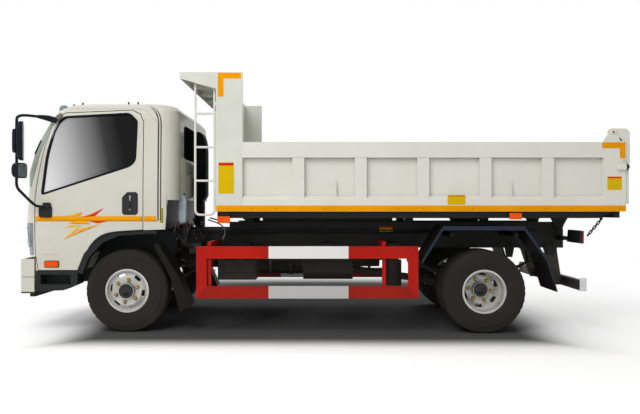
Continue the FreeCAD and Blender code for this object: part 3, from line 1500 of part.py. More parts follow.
def build_cab():
    """Cab shell with glass, doors, lamps, grille, steps, seats, dashboard and mirrors."""
    shell, skin, doors, screen, rear = cab_shell_parts()
    lamp_box = box_between((-3000, 610, z.cab_front_bottom_z.number + 6),
                           (-2812, z.cab_half_width.number + 25, 1073))
    lamps = lamp_box.fuse(lamp_box.mirror(Vector(), Vector(0, 1, 0)))
    grille_box = box_between((-3000, -590, 800), (-2830, 590, 1060))
    wall_only = skin.cut(cab_loft(z.lamp_depth.number))
    node("headlamps", shaped("headlamps_item", wall_only.common(lamps)))
    slots = [box_between((-3000, -560, 822 + 46 * i), (-2800, 560, 846 + 46 * i))
             for i in range(5)]
    grille = wall_only.common(grille_box)
    node("front_grille", shaped("front_grille_item", grille.cut(slots)))
    shell = shell.cut([wall_only.common(lamps), grille_box])
    lug = cab_lug()
    shell = shell.fuse([lug, lug.mirror(Vector(), Vector(0, 1, 0))])
    bore = Part.makeCylinder(z.cab_pin_radius.number + z.pin_clearance.number, 1000,
                             Vector(z.cab_hinge_x.number, -500, z.cab_hinge_z.number),
                             Vector(0, 1, 0))
    node("cab_shell", shaped("cab_shell_item", shell.cut(bore)))
    glass = z.glass_wall.number
    glass_skin = cab_loft(8).cut(cab_loft(8 + glass))
    front_pane = glass_skin.common(screen)
    rear_pane = box_between((-1440, -z.rear_window_half.number, 1560),
                            (-1440 + glass, z.rear_window_half.number, 2060))
    node("cab_windows", shaped("cab_windows_item", Part.makeCompound([front_pane, rear_pane])))
    for side, name in ((LEFT, "left"), (RIGHT, "right")):
        node("door_" + name, shaped("door_item_" + name, doors[side]))
        reach = (min(side * 1200, side * 600), max(side * 1200, side * 600))
        pane = side_plate(WINDOW_OUTLINE, *reach).common(side_slab(side, 18, 18 + glass))
        node("door_glass_" + name, shaped("door_glass_item_" + name, pane))
        mirror(side, name)
    cab_steps()
    seats()
    dashboard()


def cab_lug():
    """Hinge lug below the cab's front wall, bored for the hinge pin."""
    x0 = z.cab_hinge_x.number
    z0 = z.cab_hinge_z.number
    near = z.cab_lug_y.number + z.seat_gap.number
    plate = side_plate(((x0 - 12, z0 + 14), (x0 + 14, z0 - 14), (x0 + 46, z0 + 26),
                        (x0 + 46, z0 + 62), (x0 + 12, z0 + 62)), near, near + 34)
    ring = Part.makeCylinder(20, 34, Vector(x0, near, z0), Vector(0, 1, 0))
    return plate.fuse(ring)


def mirror(side, name):
    """Mirror arm on the door: upright tube, two arms, main and wide-angle housings."""
    post_x = z.mirror_post_x
    out_y = z.cab_half_width + z.mirror_reach
    low_y = side * out_y
    parts = [rod("mirror_post_" + name, 11, 670, (post_x, low_y, 1430))]
    parts.append(tube_between("mirror_top_arm_" + name, 11, (post_x, low_y, 2094),
                              (post_x + 296, side * (z.cab_half_width - 17), 2105)))
    parts.append(tube_between("mirror_low_arm_" + name, 11, (post_x, low_y, 1436),
                              (post_x + 200, side * (z.cab_half_width + 17), 1225)))
    block_low = min_y(side, z.cab_half_width, z.cab_half_width + 26)
    block_high = max_y(side, z.cab_half_width, z.cab_half_width + 26)
    parts.append(bar("mirror_block_" + name, (-2750, block_low, 1137), (-2626, block_high, 1281)))
    foot_low = min_y(side, z.cab_half_width - 28, z.cab_half_width - 9)
    foot_high = max_y(side, z.cab_half_width - 28, z.cab_half_width - 9)
    parts.append(bar("mirror_foot_" + name, (-2620, foot_low, 2086), (-2560, foot_high, 2128)))
    for tag, low_z, high in (("main", 1671, 368), ("wide", 1508, 143)):
        shell = doc.addObject("Part::Box", "mirror_%s_%s" % (tag, name))
        for prop, value in (("Length", 70), ("Width", 176), ("Height", high)):
            bind(shell, prop, value)
        turn = Rotation(Vector(0, 0, 1), -20 * side)
        centre = Vector(post_x.number + 28, side * (out_y.number - 30), low_z)
        corner = centre - turn.multVec(Vector(35, 88, 0))
        shell.Placement = FreeCAD.Placement(corner, turn)
        parts.append(shell)
    node("mirror_" + name, join("mirror_item_" + name, parts))


def tube_between(name, radius, start, end):
    """A straight tube between two points."""
    first = Vector(*[as_size(value).number for value in start])
    last = Vector(*[as_size(value).number for value in end])
    item = doc.addObject("Part::Cylinder", name)
    bind(item, "Radius", radius)
    item.Height = (last - first).Length
    item.Placement = FreeCAD.Placement(first, Rotation(Vector(0, 0, 1), last - first))
    return item


def cab_steps():
    """Black step housings below the doors, and the flares over the front wheels."""
    outer = z.cab_half_width - 12
    skirt = side_prism("step_skirt", [
        (-2798, 400), (-2520, 412), (-2386, 470), (-2379, z.door_bottom_z),
        (-2788, z.door_bottom_z),
    ], outer - 190, outer)
    recess = bar("step_recess", (-2745, outer - 120, 470), (-2450, outer + 10, 566))
    step = cut("step_side", skirt, [recess])
    top = [(x, height - 8) for x, height in ARCH[:-1]] + [(-1600, 1000)]
    low = [(x + 44, height - 34) for x, height in reversed(ARCH[:-1])]
    flare = side_prism("arch_flare", top + [(-1600, 966)] + low, outer - 70, outer + 14)
    hold = side_prism("arch_flare_hold", [
        (-2190, 890), (-2025, 950), (-1740, 980), (-1740, 1001), (-2025, 979), (-2184, 909),
    ], outer - 100, outer - z.cab_wall + 8)
    node("cab_steps", pair("cab_steps_item", join("cab_step_side", [step, flare, hold])))


def seats():
    """Driver's seat and a double seat beside it, each a cushion and a back."""
    floor = z.cab_floor_z + z.cab_wall
    parts = []
    for name, low_y, high_y in (("driver", -780, -260), ("crew", -160, 780)):
        cushion = bar("seat_cushion_" + name, (-2170, low_y, floor), (-1640, high_y, floor + 190))
        back = side_prism("seat_back_" + name, [
            (-1700, floor + 150), (-1570, floor + 150), (-1490, floor + 780),
            (-1570, floor + 780),
        ], low_y, high_y)
        parts.append(join("seat_" + name, [cushion, back]))
    node("seats", join("seats_item", parts))


def dashboard():
    """Dashboard across the cab, with the steering column and wheel in front of the driver."""
    half = z.cab_half_width - z.cab_wall - 40
    body = side_prism("dash_body", [
        (-2830, 1160), (-2620, 1120), (-2560, 1180), (-2545, 1330), (-2600, 1400), (-2822, 1400),
    ], -half, half)
    foot = bar("dash_foot", (-2790, -380, z.cab_floor_z + z.cab_wall), (-2660, 380, 1180))
    centre = (z.steering_wheel_x, -z.driver_y, z.steering_wheel_z)
    lean = Vector(-0.55, 0, -0.84)
    start = Vector(*[value.number for value in centre])
    column = doc.addObject("Part::Cylinder", "steering_column")
    bind(column, "Radius", 30)
    column.Height = 300
    column.Placement = FreeCAD.Placement(start, Rotation(Vector(0, 0, 1), lean))
    turn = Rotation(Vector(0, 0, 1), lean)
    rings = []
    for tag, radius in (("outer", z.steering_wheel_radius + 12), ("inner", z.steering_wheel_radius - 12)):
        ring = doc.addObject("Part::Cylinder", "steering_wheel_" + tag)
        bind(ring, "Radius", radius)
        ring.Height = 24
        ring.Placement = FreeCAD.Placement(start - lean * 12, turn)
        rings.append(ring)
    wheel = cut("steering_wheel_rim", rings[0], [rings[1]])
    spoke = doc.addObject("Part::Box", "steering_wheel_spoke")
    bind(spoke, "Length", 40)
    bind(spoke, "Width", z.steering_wheel_radius * 2)
    bind(spoke, "Height", 16)
    corner = start - turn.multVec(Vector(20, z.steering_wheel_radius.number, 8))
    spoke.Placement = FreeCAD.Placement(corner, turn)
    node("dashboard", join("dashboard_item", [body, foot, column, wheel, spoke]))


def check_and_export():
    """Stop on any failed object, then write one STEP file for each sub-part."""
    doc.recompute()
    for item in doc.Objects:
        if "Invalid" in item.State or "Error" in item.State:
            raise RuntimeError("%s did not build: %s" % (item.Label, item.State))
    for item in NODES:
        if item.Shape.isNull() or not item.Shape.isValid():
            raise RuntimeError("%s has no valid shape" % item.Label)
    os.makedirs("parts", exist_ok=True)
    for item in NODES:
        item.Shape.exportStep("parts/%s.step" % item.Label)
        box = item.Shape.BoundBox
        print("%-22s %2d solids  X %7.1f %7.1f  Y %7.1f %7.1f  Z %7.1f %7.1f" % (
            item.Label, len(item.Shape.Solids), box.XMin, box.XMax, box.YMin, box.YMax,
            box.ZMin, box.ZMax))


build_wheels()
build_chassis()
build_bed()
build_cab()
check_and_export()
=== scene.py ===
"""The dump truck's looks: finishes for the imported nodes, and the pieces that the solids leave out.

Lengths are in metres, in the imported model's frame: +X to the rear, +Y to the truck's right, +Z up.
"""
import math
import random

import bmesh
import bpy
from mathutils import Matrix, Vector
from mathutils.bvhtree import BVHTree


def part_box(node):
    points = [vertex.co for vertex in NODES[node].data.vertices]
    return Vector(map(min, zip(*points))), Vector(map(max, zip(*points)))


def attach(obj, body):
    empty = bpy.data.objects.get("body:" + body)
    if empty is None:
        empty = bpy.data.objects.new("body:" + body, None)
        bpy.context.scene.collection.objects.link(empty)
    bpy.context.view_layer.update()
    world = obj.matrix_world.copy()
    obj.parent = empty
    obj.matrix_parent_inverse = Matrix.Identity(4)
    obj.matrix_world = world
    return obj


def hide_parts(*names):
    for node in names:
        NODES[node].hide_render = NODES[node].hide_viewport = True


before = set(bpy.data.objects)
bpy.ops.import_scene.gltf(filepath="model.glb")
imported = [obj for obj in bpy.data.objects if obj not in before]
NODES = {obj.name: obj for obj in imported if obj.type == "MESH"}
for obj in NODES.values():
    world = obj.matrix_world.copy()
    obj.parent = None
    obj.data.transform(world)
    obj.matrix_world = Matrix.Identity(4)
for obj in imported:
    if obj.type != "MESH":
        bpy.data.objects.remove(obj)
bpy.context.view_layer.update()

SIDES = (("left", -1), ("right", 1))
OUT = {-1: Vector((0, -1, 0)), 1: Vector((0, 1, 0))}
FORWARD, REARWARD, UP = Vector((-1, 0, 0)), Vector((1, 0, 0)), Vector((0, 0, 1))
WHITE, BLACK = (1, 1, 1, 1), (0, 0, 0, 1)
TURN = 2 * math.pi
WIDE_OFF, LONG_OFF = 2, 4   # where rays towards the truck start, outside its sides and its ends


# ---------------------------------------------------------------- camera, light and floor

CAMERA_PLACE = (0, -7.58, 1.216)
LENS, SENSOR, SHIFT_UP = 37.9, 36, 0.00234
SKY_LIGHT = 0.52
LAMP_TARGET = Vector((0, 0, 1))
LAMPS = (                              # name, place, size, power
    ("key", (-3.5, -8.0, 7.5), 6.0, 560),
    ("far", (3.5, 8.0, 7.5), 6.0, 330),
    ("front", (-10.0, -1.0, 5.0), 5.0, 210),
)
FLOOR_REACH, FLOOR_DROP = 60, 0.001
FLOOR_TONES = ((0.8, 0.8, 0.8, 1), (0.84, 0.84, 0.84, 1))
# SHADE_TONE is a painted shadow: the floor's colour is darkened to it round the truck's footprint,
# further out on the far side, and the floor's glow is held back there
SHADE_TONE = (0.02, 0.02, 0.02, 1)
BACKDROP_SPAN, BACKDROP_GLOW = (3.4, 7.0), 0.7
FOOTPRINT = (("X", -0.1, 2.0), ("Y", 0.0, 1.25))   # axis, middle, half size
FAR_STRETCH = 0.62                     # how much of the far side's distance the shade ignores
NEAR_SPAN, NEAR_GLOW = (0.0, 0.9), (0.0, 0.3)
CONTACT_SPAN, CONTACT_SHADE = (0.0, 0.5), (0.92, 0.0)


def linked(name, data):
    """A new object in the scene."""
    made = bpy.data.objects.new(name, data)
    bpy.context.scene.collection.objects.link(made)
    return made


def make_camera():
    """A level camera square to the truck's left side."""
    data = bpy.data.cameras.new("camera")
    data.lens, data.sensor_width, data.shift_y = LENS, SENSOR, SHIFT_UP
    camera = linked("camera", data)
    camera.location = CAMERA_PLACE
    camera.rotation_euler = (math.radians(90), 0, 0)
    bpy.context.scene.camera = camera
    bpy.context.scene.view_settings.view_transform = "Standard"


class Tree:
    """Short calls for a shader's nodes: a value that is an output is linked, any other is set."""

    def __init__(self, owner):
        owner.use_nodes = True
        self.tree = owner.node_tree
        self.shader = self.tree.nodes.get("Principled BSDF")

    def put(self, node, inputs):
        for name, value in dict(inputs).items():
            if isinstance(value, bpy.types.NodeSocket):
                self.tree.links.new(value, node.inputs[name])
            else:
                node.inputs[name].default_value = value
        return node

    def add(self, kind, inputs=(), **settings):
        made = self.tree.nodes.new("ShaderNode" + kind)
        for name, value in settings.items():
            setattr(made, name, value)
        return self.put(made, inputs).outputs

    def place(self):
        return self.add("TexCoord")["Object"]

    def math(self, operation, first, second=0.0):
        return self.add("Math", {0: first, 1: second}, operation=operation)[0]

    def mix(self, factor, first, second):
        return self.add("Mix", {"Factor": factor, 6: first, 7: second}, data_type="RGBA")[2]

    def noise(self, place, scale, detail, rough=0.5):
        return self.add("TexNoise", {"Vector": place, "Scale": scale, "Detail": detail,
                                     "Roughness": rough})[0]

    def span(self, value, low_high, to=(0.0, 1.0), kind="LINEAR"):
        return self.add("MapRange", {"Value": value, "From Min": low_high[0],
                                     "From Max": low_high[1], "To Min": to[0], "To Max": to[1]},
                        interpolation_type=kind)[0]

    def seen_rays(self):
        """1 on camera, glossy and transmission rays."""
        path = self.add("LightPath")
        seen = self.math("MAXIMUM", path["Is Camera Ray"], path["Is Glossy Ray"])
        return self.math("MAXIMUM", seen, path["Is Transmission Ray"])


def make_world():
    """White to look at, and a softer sky to be lit by."""
    world = bpy.data.worlds.new("studio")
    bpy.context.scene.world = world
    tree = Tree(world)
    strength = tree.add("Mix", {"Factor": tree.seen_rays(), 2: SKY_LIGHT, 3: 1.0})[0]
    tree.put(tree.tree.nodes["Background"], {"Color": WHITE, "Strength": strength})


def make_lamps():
    """Large soft lamps: over the near side, behind and in front."""
    for name, place, size, power in LAMPS:
        data = bpy.data.lights.new(name, "AREA")
        data.shape, data.size, data.energy = "DISK", size, power
        lamp = linked(name, data)
        lamp.location = place
        lamp.rotation_euler = (LAMP_TARGET - Vector(place)).to_track_quat("-Z", "Y").to_euler()
        lamp.visible_camera = lamp.visible_glossy = False


def make_floor():
    """A pale floor that keeps the truck's shadow, has a painted shadow round the truck's footprint,
    and turns white in the distance.
    """
    mesh = bpy.data.meshes.new("floor")
    low, high = -FLOOR_REACH, FLOOR_REACH
    corners = [(low, low, 0), (high, low, 0), (high, high, 0), (low, high, 0)]
    mesh.from_pydata(corners, [], [(0, 1, 2, 3)])
    floor = linked("floor", mesh)
    floor.location.z = -FLOOR_DROP
    material = bpy.data.materials.new("floor")
    tree = Tree(material)
    place = tree.place()
    pale = tree.mix(tree.noise(place, 0.6, 3.0), *FLOOR_TONES)
    distance = tree.add("VectorMath", {0: place}, operation="LENGTH")["Value"]
    backdrop = tree.math("MULTIPLY", tree.span(distance, BACKDROP_SPAN), tree.seen_rays())
    flat = tree.add("SeparateXYZ", {"Vector": place})
    beyond = []
    for axis, middle, half in FOOTPRINT:
        apart = tree.math("ABSOLUTE", tree.math("SUBTRACT", flat[axis], middle))
        beyond.append(tree.math("MAXIMUM", tree.math("SUBTRACT", apart, half), 0.0))
    far_side = tree.math("MULTIPLY", tree.math("MAXIMUM", flat["Y"], 0.0), FAR_STRETCH)
    shaded = tree.math("MAXIMUM", tree.math("SUBTRACT", beyond[1], far_side), beyond[0])
    # Round the footprint the glow is held back and the colour darkened to SHADE_TONE on seen rays: a
    # painted shadow
    near = tree.math("MULTIPLY", tree.span(shaded, NEAR_SPAN, NEAR_GLOW, "SMOOTHSTEP"),
                     tree.seen_rays())
    contact = tree.span(shaded, CONTACT_SPAN, CONTACT_SHADE, "SMOOTHSTEP")
    painted_shadow_colour = tree.mix(tree.math("MULTIPLY", contact, tree.seen_rays()), pale, SHADE_TONE)
    glow = tree.math("ADD", near, tree.math("MULTIPLY", backdrop, BACKDROP_GLOW))
    tree.put(tree.shader, {"Roughness": 0.9, "Specular IOR Level": 0.0, "Emission Color": WHITE,
                           "Base Color": tree.mix(backdrop, painted_shadow_colour, BLACK),
                           "Emission Strength": glow})
    mesh.materials.append(material)


# ---------------------------------------------------------------- finishes

def colour(red, green, blue):
    """A colour written from 0 to 255, as a shader wants it."""
    linear = []
    for part in (red, green, blue):
        part /= 255
        linear.append(part / 12.92 if part <= 0.04045 else ((part + 0.055) / 1.055) ** 2.4)
    return (*linear, 1)


DUST = colour(126, 112, 92)
DUSTY_FROM, DUSTY_TO = 1.3, 0.2        # heights between which the dust settles
BUMP_DEPTH, COAT_ROUGH, ROUGH_SPREAD = 0.002, 0.12, 0.09
CLOUD_DETAIL, CLOUD_ROUGH, CLOUD_SPAN = 5.0, 0.6, (0.35, 0.65)
SPECK_SCALE, SPECK_DETAIL, SPECK_ROUGH, RELIEF_DETAIL = 9.0, 8.0, 0.7, 3.0
FINISHES = {}


def finish(name, slot, main, other, rough, bump, dust, shine, metal=0.0, coat=0.0, patch=2.5,
           grain=220.0, edge=0.003, band=None, clear=0.0):
    """A procedural finish.

    main and other are mottled in patches; grain and bump are the fine relief; dust settles low
    down; edge rounds the light on corners; band is (axis, low, high, colour), with Y unsigned;
    shine is the specular level and clear the share of light let through.
    """
    material = bpy.data.materials.new(name)
    tree = Tree(material)
    place = tree.place()
    cloud = tree.noise(place, patch, CLOUD_DETAIL, CLOUD_ROUGH)
    paint = tree.mix(tree.span(cloud, CLOUD_SPAN), colour(*main), colour(*other))
    axes = tree.add("SeparateXYZ", {"Vector": place})
    if band:
        axis, low, high, second = band
        along = tree.math("ABSOLUTE", axes[axis]) if axis == "Y" else axes[axis]
        inside = tree.math("MULTIPLY", tree.math("GREATER_THAN", along, low),
                           tree.math("LESS_THAN", along, high))
        paint = tree.mix(inside, paint, colour(*second))
    if dust:
        low_down = tree.span(axes["Z"], (DUSTY_FROM, DUSTY_TO), (0.15, 1.0))
        specks = tree.noise(place, SPECK_SCALE, SPECK_DETAIL, SPECK_ROUGH)
        settled = tree.math("MULTIPLY", tree.math("MULTIPLY", specks, low_down), dust)
        paint = tree.mix(settled, paint, DUST)
    sheen = tree.span(cloud, (0.0, 1.0), (max(rough - ROUGH_SPREAD, 0.02),
                                          min(rough + ROUGH_SPREAD, 1.0)))
    relief = {"Height": tree.noise(place, grain, RELIEF_DETAIL), "Strength": bump,
              "Distance": BUMP_DEPTH}
    if edge:
        relief["Normal"] = tree.add("Bevel", {"Radius": edge}, samples=4)[0]
    tree.put(tree.shader, {
        "Base Color": paint, "Roughness": sheen, "Normal": tree.add("Bump", relief)[0],
        "Metallic": metal, "Specular IOR Level": shine, "Coat Weight": coat,
        "Coat Roughness": COAT_ROUGH, "Transmission Weight": clear})
    FINISHES[name] = (material, slot)
    return tree


CREAM = (203, 201, 189)
WHITE_SPAN = ("X", -0.5, 0.277)      # the white length of the side guards
FINISH_ROWS = {
    "cab_paint": (
        ("cab", CREAM, (198, 195, 182), 0.34, 0.02, 0.08, 0.3, dict(coat=0.3)),
        ("bumper", CREAM, (206, 203, 190), 0.36, 0.03, 0.12, 0.3,
         dict(coat=0.25, band=("Z", 0.0, 0.398, (26, 28, 30)))),
        ("bumper shade", (120, 118, 106), (104, 102, 92), 0.5, 0.06, 0.0, 0.3),
        ("flame red", (224, 44, 18), (212, 56, 16), 0.4, 0.06, 0.0, 0.1, dict(edge=0)),
        ("flame orange", (238, 150, 12), (234, 166, 14), 0.4, 0.06, 0.0, 0.1, dict(edge=0)),
        ("flame yellow", (243, 202, 20), (236, 188, 14), 0.4, 0.06, 0.0, 0.1, dict(edge=0)),
        # Greenish grey on the corner covers: a painted reflection of the windscreen's glass
        ("pillar", (164, 173, 163), (150, 160, 151), 0.35, 0.02, 0.0, 0.15),
        ("slime", (150, 144, 30), (168, 160, 40), 0.3, 0.4, 0.0, 0.15, dict(grain=700, edge=0))),
    "bed_paint": (
        ("bed", (218, 218, 209), (213, 213, 203), 0.42, 0.015, 0.08, 0.3, dict(coat=0.15)),
        # The headboard's cream is a darker copy of the bed's: painted shade
        ("canopy", (211, 212, 203), (203, 204, 194), 0.5, 0.015, 0.0, 0.3),
        ("tape", (236, 157, 0), (226, 147, 0), 0.45, 0.2, 0.0, 0.04, dict(grain=900, edge=0)),
        ("sticker", (214, 177, 10), (205, 167, 6), 0.45, 0.06, 0.0, 0.08, dict(edge=0)),
        ("sticker red", (206, 34, 18), (190, 28, 14), 0.45, 0.06, 0.0, 0.08, dict(edge=0)),
        ("sticker ink", (196, 128, 14), (170, 108, 12), 0.5, 0.06, 0.0, 0.1, dict(edge=0))),
    "chassis_paint": (
        ("chassis", (17, 19, 21), (25, 25, 25), 0.48, 0.08, 0.1, 0.2),),
    "store_black": (
        ("store", (21, 22, 24), (31, 31, 30), 0.55, 0.12, 0.14, 0.2),
        ("hose", (17, 18, 19), (26, 25, 24), 0.5, 0.15, 0.08, 0.2),
        ("loom", (28, 36, 66), (22, 28, 48), 0.5, 0.2, 0.0, 0.2)),
    "cast_grey": (
        ("cast", (34, 34, 34), (50, 46, 40), 0.65, 0.35, 0.25, 0.2, dict(grain=140, patch=7)),
        ("mirror foot", (126, 118, 112), (90, 82, 77), 0.6, 0.3, 0.0, 0.3, dict(patch=40)),
        ("rust", (118, 82, 52), (84, 60, 44), 0.75, 0.4, 0.0, 0.3, dict(patch=30))),
    "spring_steel": (
        ("spring", (27, 28, 29), (40, 37, 33), 0.6, 0.2, 0.2, 0.2),
        ("steel", (140, 140, 138), (104, 100, 94), 0.38, 0.1, 0.0, 0.3,
         dict(metal=0.85, patch=20))),
    "tank_metal": (
        ("tank", (30, 32, 35), (42, 44, 46), 0.45, 0.04, 0.15, 0.2, dict(metal=0.2)),),
    "underrun_metal": (
        ("alloy", (150, 152, 150), (120, 121, 118), 0.34, 0.05, 0.0, 0.3,
         dict(metal=0.8, patch=6)),
        ("bar", (58, 54, 48), (40, 37, 33), 0.5, 0.15, 0.2, 0.3,
         dict(metal=0.3, patch=8, band=("Y", 1.006, 2.0, (214, 216, 216)))),
        ("silver", (222, 224, 225), (206, 208, 209), 0.35, 0.04, 0.0, 0.3, dict(patch=14))),
    "exhaust_metal": (
        ("pipe", (70, 64, 58), (96, 74, 52), 0.6, 0.2, 0.25, 0.3, dict(metal=0.6)),),
    "guard_red": (
        ("guard", (180, 22, 11), (164, 20, 11), 0.4, 0.06, 0.06, 0.12,
         dict(band=(*WHITE_SPAN, (226, 226, 224)))),
        # A darker copy of the guard's red and white for its lower bar: painted shade, with more dust
        ("guard low", (158, 18, 9), (142, 17, 9), 0.4, 0.06, 0.12, 0.1,
         dict(band=(*WHITE_SPAN, (184, 184, 182)))),
        ("red", (186, 24, 12), (166, 20, 10), 0.4, 0.06, 0.0, 0.12)),
    "fender_grey": (
        ("fender", (15, 16, 17), (24, 22, 20), 0.6, 0.15, 0.05, 0.12,
         dict(band=("Y", 1.0312, 2.0, (39, 46, 60)))),
        ("flap", (11, 11, 11), (20, 18, 15), 0.7, 0.2, 0.06, 0.1)),
    "black_plastic": (
        ("plastic", (27, 30, 32), (33, 36, 37), 0.55, 0.22, 0.05, 0.2, dict(grain=600)),
        ("gloss black", (12, 14, 16), (18, 19, 22), 0.2, 0.03, 0.0, 0.3, dict(coat=0.3)),
        ("seal", (11, 15, 22), (16, 21, 28), 0.6, 0.1, 0.0, 0.15),
        ("mirror shell", (15, 18, 26), (20, 23, 32), 0.42, 0.05, 0.0, 0.15),
        ("intake", (9, 11, 13), (15, 16, 18), 0.5, 0.05, 0.0, 0.04)),
    "tyre_rubber": (
        ("rubber", (33, 33, 33), (39, 38, 36), 0.82, 0.25, 0.07, 0.15, dict(grain=420, edge=0)),),
    "rim_paint": (
        ("rim", (202, 202, 198), (180, 179, 174), 0.38, 0.06, 0.16, 0.3,
         dict(metal=0.25, patch=6)),
        ("brass", (190, 166, 96), (134, 110, 62), 0.38, 0.1, 0.0, 0.3, dict(metal=0.8, patch=40))),
    "rod_chrome": (
        ("chrome", (200, 202, 204), (186, 188, 190), 0.12, 0.01, 0.0, 0.3, dict(metal=1.0)),),
    "hoist_paint": (
        ("hoist", (28, 31, 36), (40, 42, 44), 0.45, 0.08, 0.15, 0.2),),
    "lamp_lens": (
        ("amber", (240, 92, 4), (224, 78, 2), 0.3, 0.5, 0.0, 0.12, dict(grain=160)),
        ("lens", (190, 197, 202), (176, 184, 191), 0.08, 0.02, 0.0, 0.3,
         dict(coat=0.3, grain=60, clear=0.78)),
        ("dome", (150, 166, 178), (120, 136, 148), 0.18, 0.3, 0.0, 0.3,
         dict(coat=0.5, grain=90, clear=0.35)),
        ("reflector", (168, 172, 178), (128, 132, 138), 0.2, 0.08, 0.0, 0.3,
         dict(metal=0.9, grain=90))),
    "tail_red": (
        ("tail", (190, 14, 18), (160, 8, 12), 0.3, 0.5, 0.0, 0.12, dict(grain=160)),),
    "window_glass": (
        ("screen", (120, 138, 138), (110, 130, 132), 0.03, 0.0, 0.0, 0.3,
         dict(coat=0.4, edge=0, clear=0.85)),
        # The rear window is opaque, matte and mottled blue-green: a painted reflection of trees
        ("rear glass", (14, 32, 44), (26, 46, 30), 0.9, 0.0, 0.0, 0.0, dict(patch=9, edge=0)),
        ("mirror", (100, 118, 126), (70, 84, 90), 0.3, 0.0, 0.0, 0.3, dict(metal=0.4, patch=9))),
    "dash_plastic": (
        ("milky", (172, 184, 192), (150, 162, 172), 0.4, 0.05, 0.0, 0.3, dict(patch=14)),
        ("plate", (206, 208, 208), (201, 203, 203), 0.4, 0.05, 0.0, 0.3, dict(patch=14)),
        ("dash", (50, 52, 56), (58, 59, 62), 0.6, 0.25, 0.0, 0.3, dict(grain=500))),
    "seat_cloth": (
        ("cloth", (66, 70, 78), (54, 57, 64), 0.9, 0.6, 0.0, 0.3, dict(grain=700, patch=16)),
        ("vinyl", (44, 46, 51), (38, 40, 44), 0.55, 0.4, 0.0, 0.3, dict(grain=320))),
}
# The door glass's grey runs along these stops as a painted reflection
PAINTED_REFLECTION_TONES = ((0.0, 240), (0.22, 200), (0.48, 134), (0.7, 52), (0.86, 8))   # place, grey
GLASS_LEAN, GLASS_OVERRUN = 0.22, 0.1


def make_side_glass_painted_reflection():
    """Door glass with a painted reflection, pale at the front and fading to near black at the rear.
    """
    low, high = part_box("door_glass_left")
    grey = (90, 90, 90)
    grey = (90, 90, 90)
    tree = finish("side glass painted reflection", "window_glass", grey, grey, 0.06, 0.0, 0.0, 0.12, edge=0.0)
    axes = tree.add("SeparateXYZ", {"Vector": tree.place()})
    lean = tree.math("MULTIPLY", tree.math("SUBTRACT", axes["Z"], low.z), GLASS_LEAN)
    share = tree.span(tree.math("ADD", axes["X"], lean), (low.x, high.x + GLASS_OVERRUN))
    ramp = tree.tree.nodes.new("ShaderNodeValToRGB")
    for i, (place, tone) in enumerate(PAINTED_REFLECTION_TONES):
        stop = ramp.color_ramp.elements[i] if i < 2 else ramp.color_ramp.elements.new(place)
        stop.position, stop.color = place, colour(tone, tone, tone)
    tree.put(ramp, {"Fac": share})
    tree.put(tree.shader, {"Base Color": ramp.outputs["Color"], "Transmission Weight": 0.08})


def make_finishes():
    """Every finish of the truck, by name."""
    for slot, rows in FINISH_ROWS.items():
        for name, main, other, rough, bump, dust, shine, *more in rows:
            finish(name, slot, main, other, rough, bump, dust, shine, **dict(*more))
    make_side_glass_painted_reflection()


NODE_FINISH = {node.replace("*", tag): look for look, nodes in {
    "bed": "bed_tub tailgate ladder", "canopy": "headboard", "spring": "leaf_springs",
    "chassis": "bed_underframe tipper_subframe frame_rails", "steel": "tie_rod",
    "cast": "front_axle rear_axle knuckle_* drive_line engine_block", "screen": "cab_windows",
    "store": "air_and_battery", "tank": "fuel_tank", "pipe": "exhaust", "guard": "side_guards",
    "fender": "mudguards", "bar": "rear_underrun_bar", "bumper": "front_bumper",
    "plastic": "tail_lamps air_intake front_grille mirror_* cab_steps", "lens": "headlamps",
    "hoist": "hoist_barrel", "chrome": "hoist_rod", "cab": "cab_shell door_*",
    "side glass painted reflection": "door_glass_*", "dash": "dashboard", "cloth": "seats",
    "rim": "front_rim_* rear_rims_*", "rubber": "front_tyre_* rear_tyres_*",
}.items() for node in nodes.split() for tag, _ in SIDES}
CAB_FLOOR_LINE, CAB_REAR_LINE, GUARD_MIDDLE = 1.296, -1.56, 0.47


def refinish(node, look, chosen):
    """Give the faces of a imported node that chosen(centre, normal) picks another finish."""
    mesh = NODES[node].data
    mesh.materials.append(FINISHES[look][0])
    for face in mesh.polygons:
        face.material_index = int(chosen(face.center, face.normal))


def finish_nodes():
    """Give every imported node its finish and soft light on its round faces."""
    for name, node in NODES.items():
        node.data.materials.clear()
        node.data.materials.append(FINISHES[NODE_FINISH[name]][0])
        node.data.shade_smooth()
    cab_middle = sum(corner.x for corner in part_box("cab_shell")) / 2
    # Rearward faces low in the notch behind the cab are painted black as painted shade, where the
    # space behind the cab lies dark; downward faces get the dark underbody finish
    refinish("cab_shell", "chassis", lambda centre, normal: centre.z < CAB_FLOOR_LINE and (
        centre.x > CAB_REAR_LINE and normal.x > 0.4 or normal.z < -0.5))
    # The guards' lower bar gets the darker copy, painted shade
    refinish("side_guards", "guard low", lambda centre, normal: centre.z < GUARD_MIDDLE)
    # The rear pane gets the opaque painted reflection
    refinish("cab_windows", "rear glass", lambda centre, normal: centre.x > cab_middle)


# ---------------------------------------------------------------- building meshes

def at(x, y, z, degrees=0.0, axis="Z"):
    """A placement by a spot and a turn."""
    return Matrix.Translation((x, y, z)) @ Matrix.Rotation(math.radians(degrees), 4, axis)


def aim(origin, direction, spin=0.0):
    """A placement whose own Z runs along a direction."""
    turn = Vector(direction).to_track_quat("Z", "Y").to_matrix().to_4x4()
    return Matrix.Translation(origin) @ turn @ Matrix.Rotation(spin, 4, "Z")


def strip(bm, rows, closed_rows=True, closed_ends=False, capped=False):
    """Faces between rows of points, each row a ring or an open run."""
    made = [[bm.verts.new(point) for point in row] for row in rows]
    count = len(made[0])
    for first, second in zip(made, made[1:] + made[:1] if closed_ends else made[1:]):
        for k in range(count if closed_rows else count - 1):
            n = (k + 1) % count
            bm.faces.new((first[k], first[n], second[n], second[k]))
    if capped:
        bm.faces.new(made[0][::-1])
        bm.faces.new(made[-1])


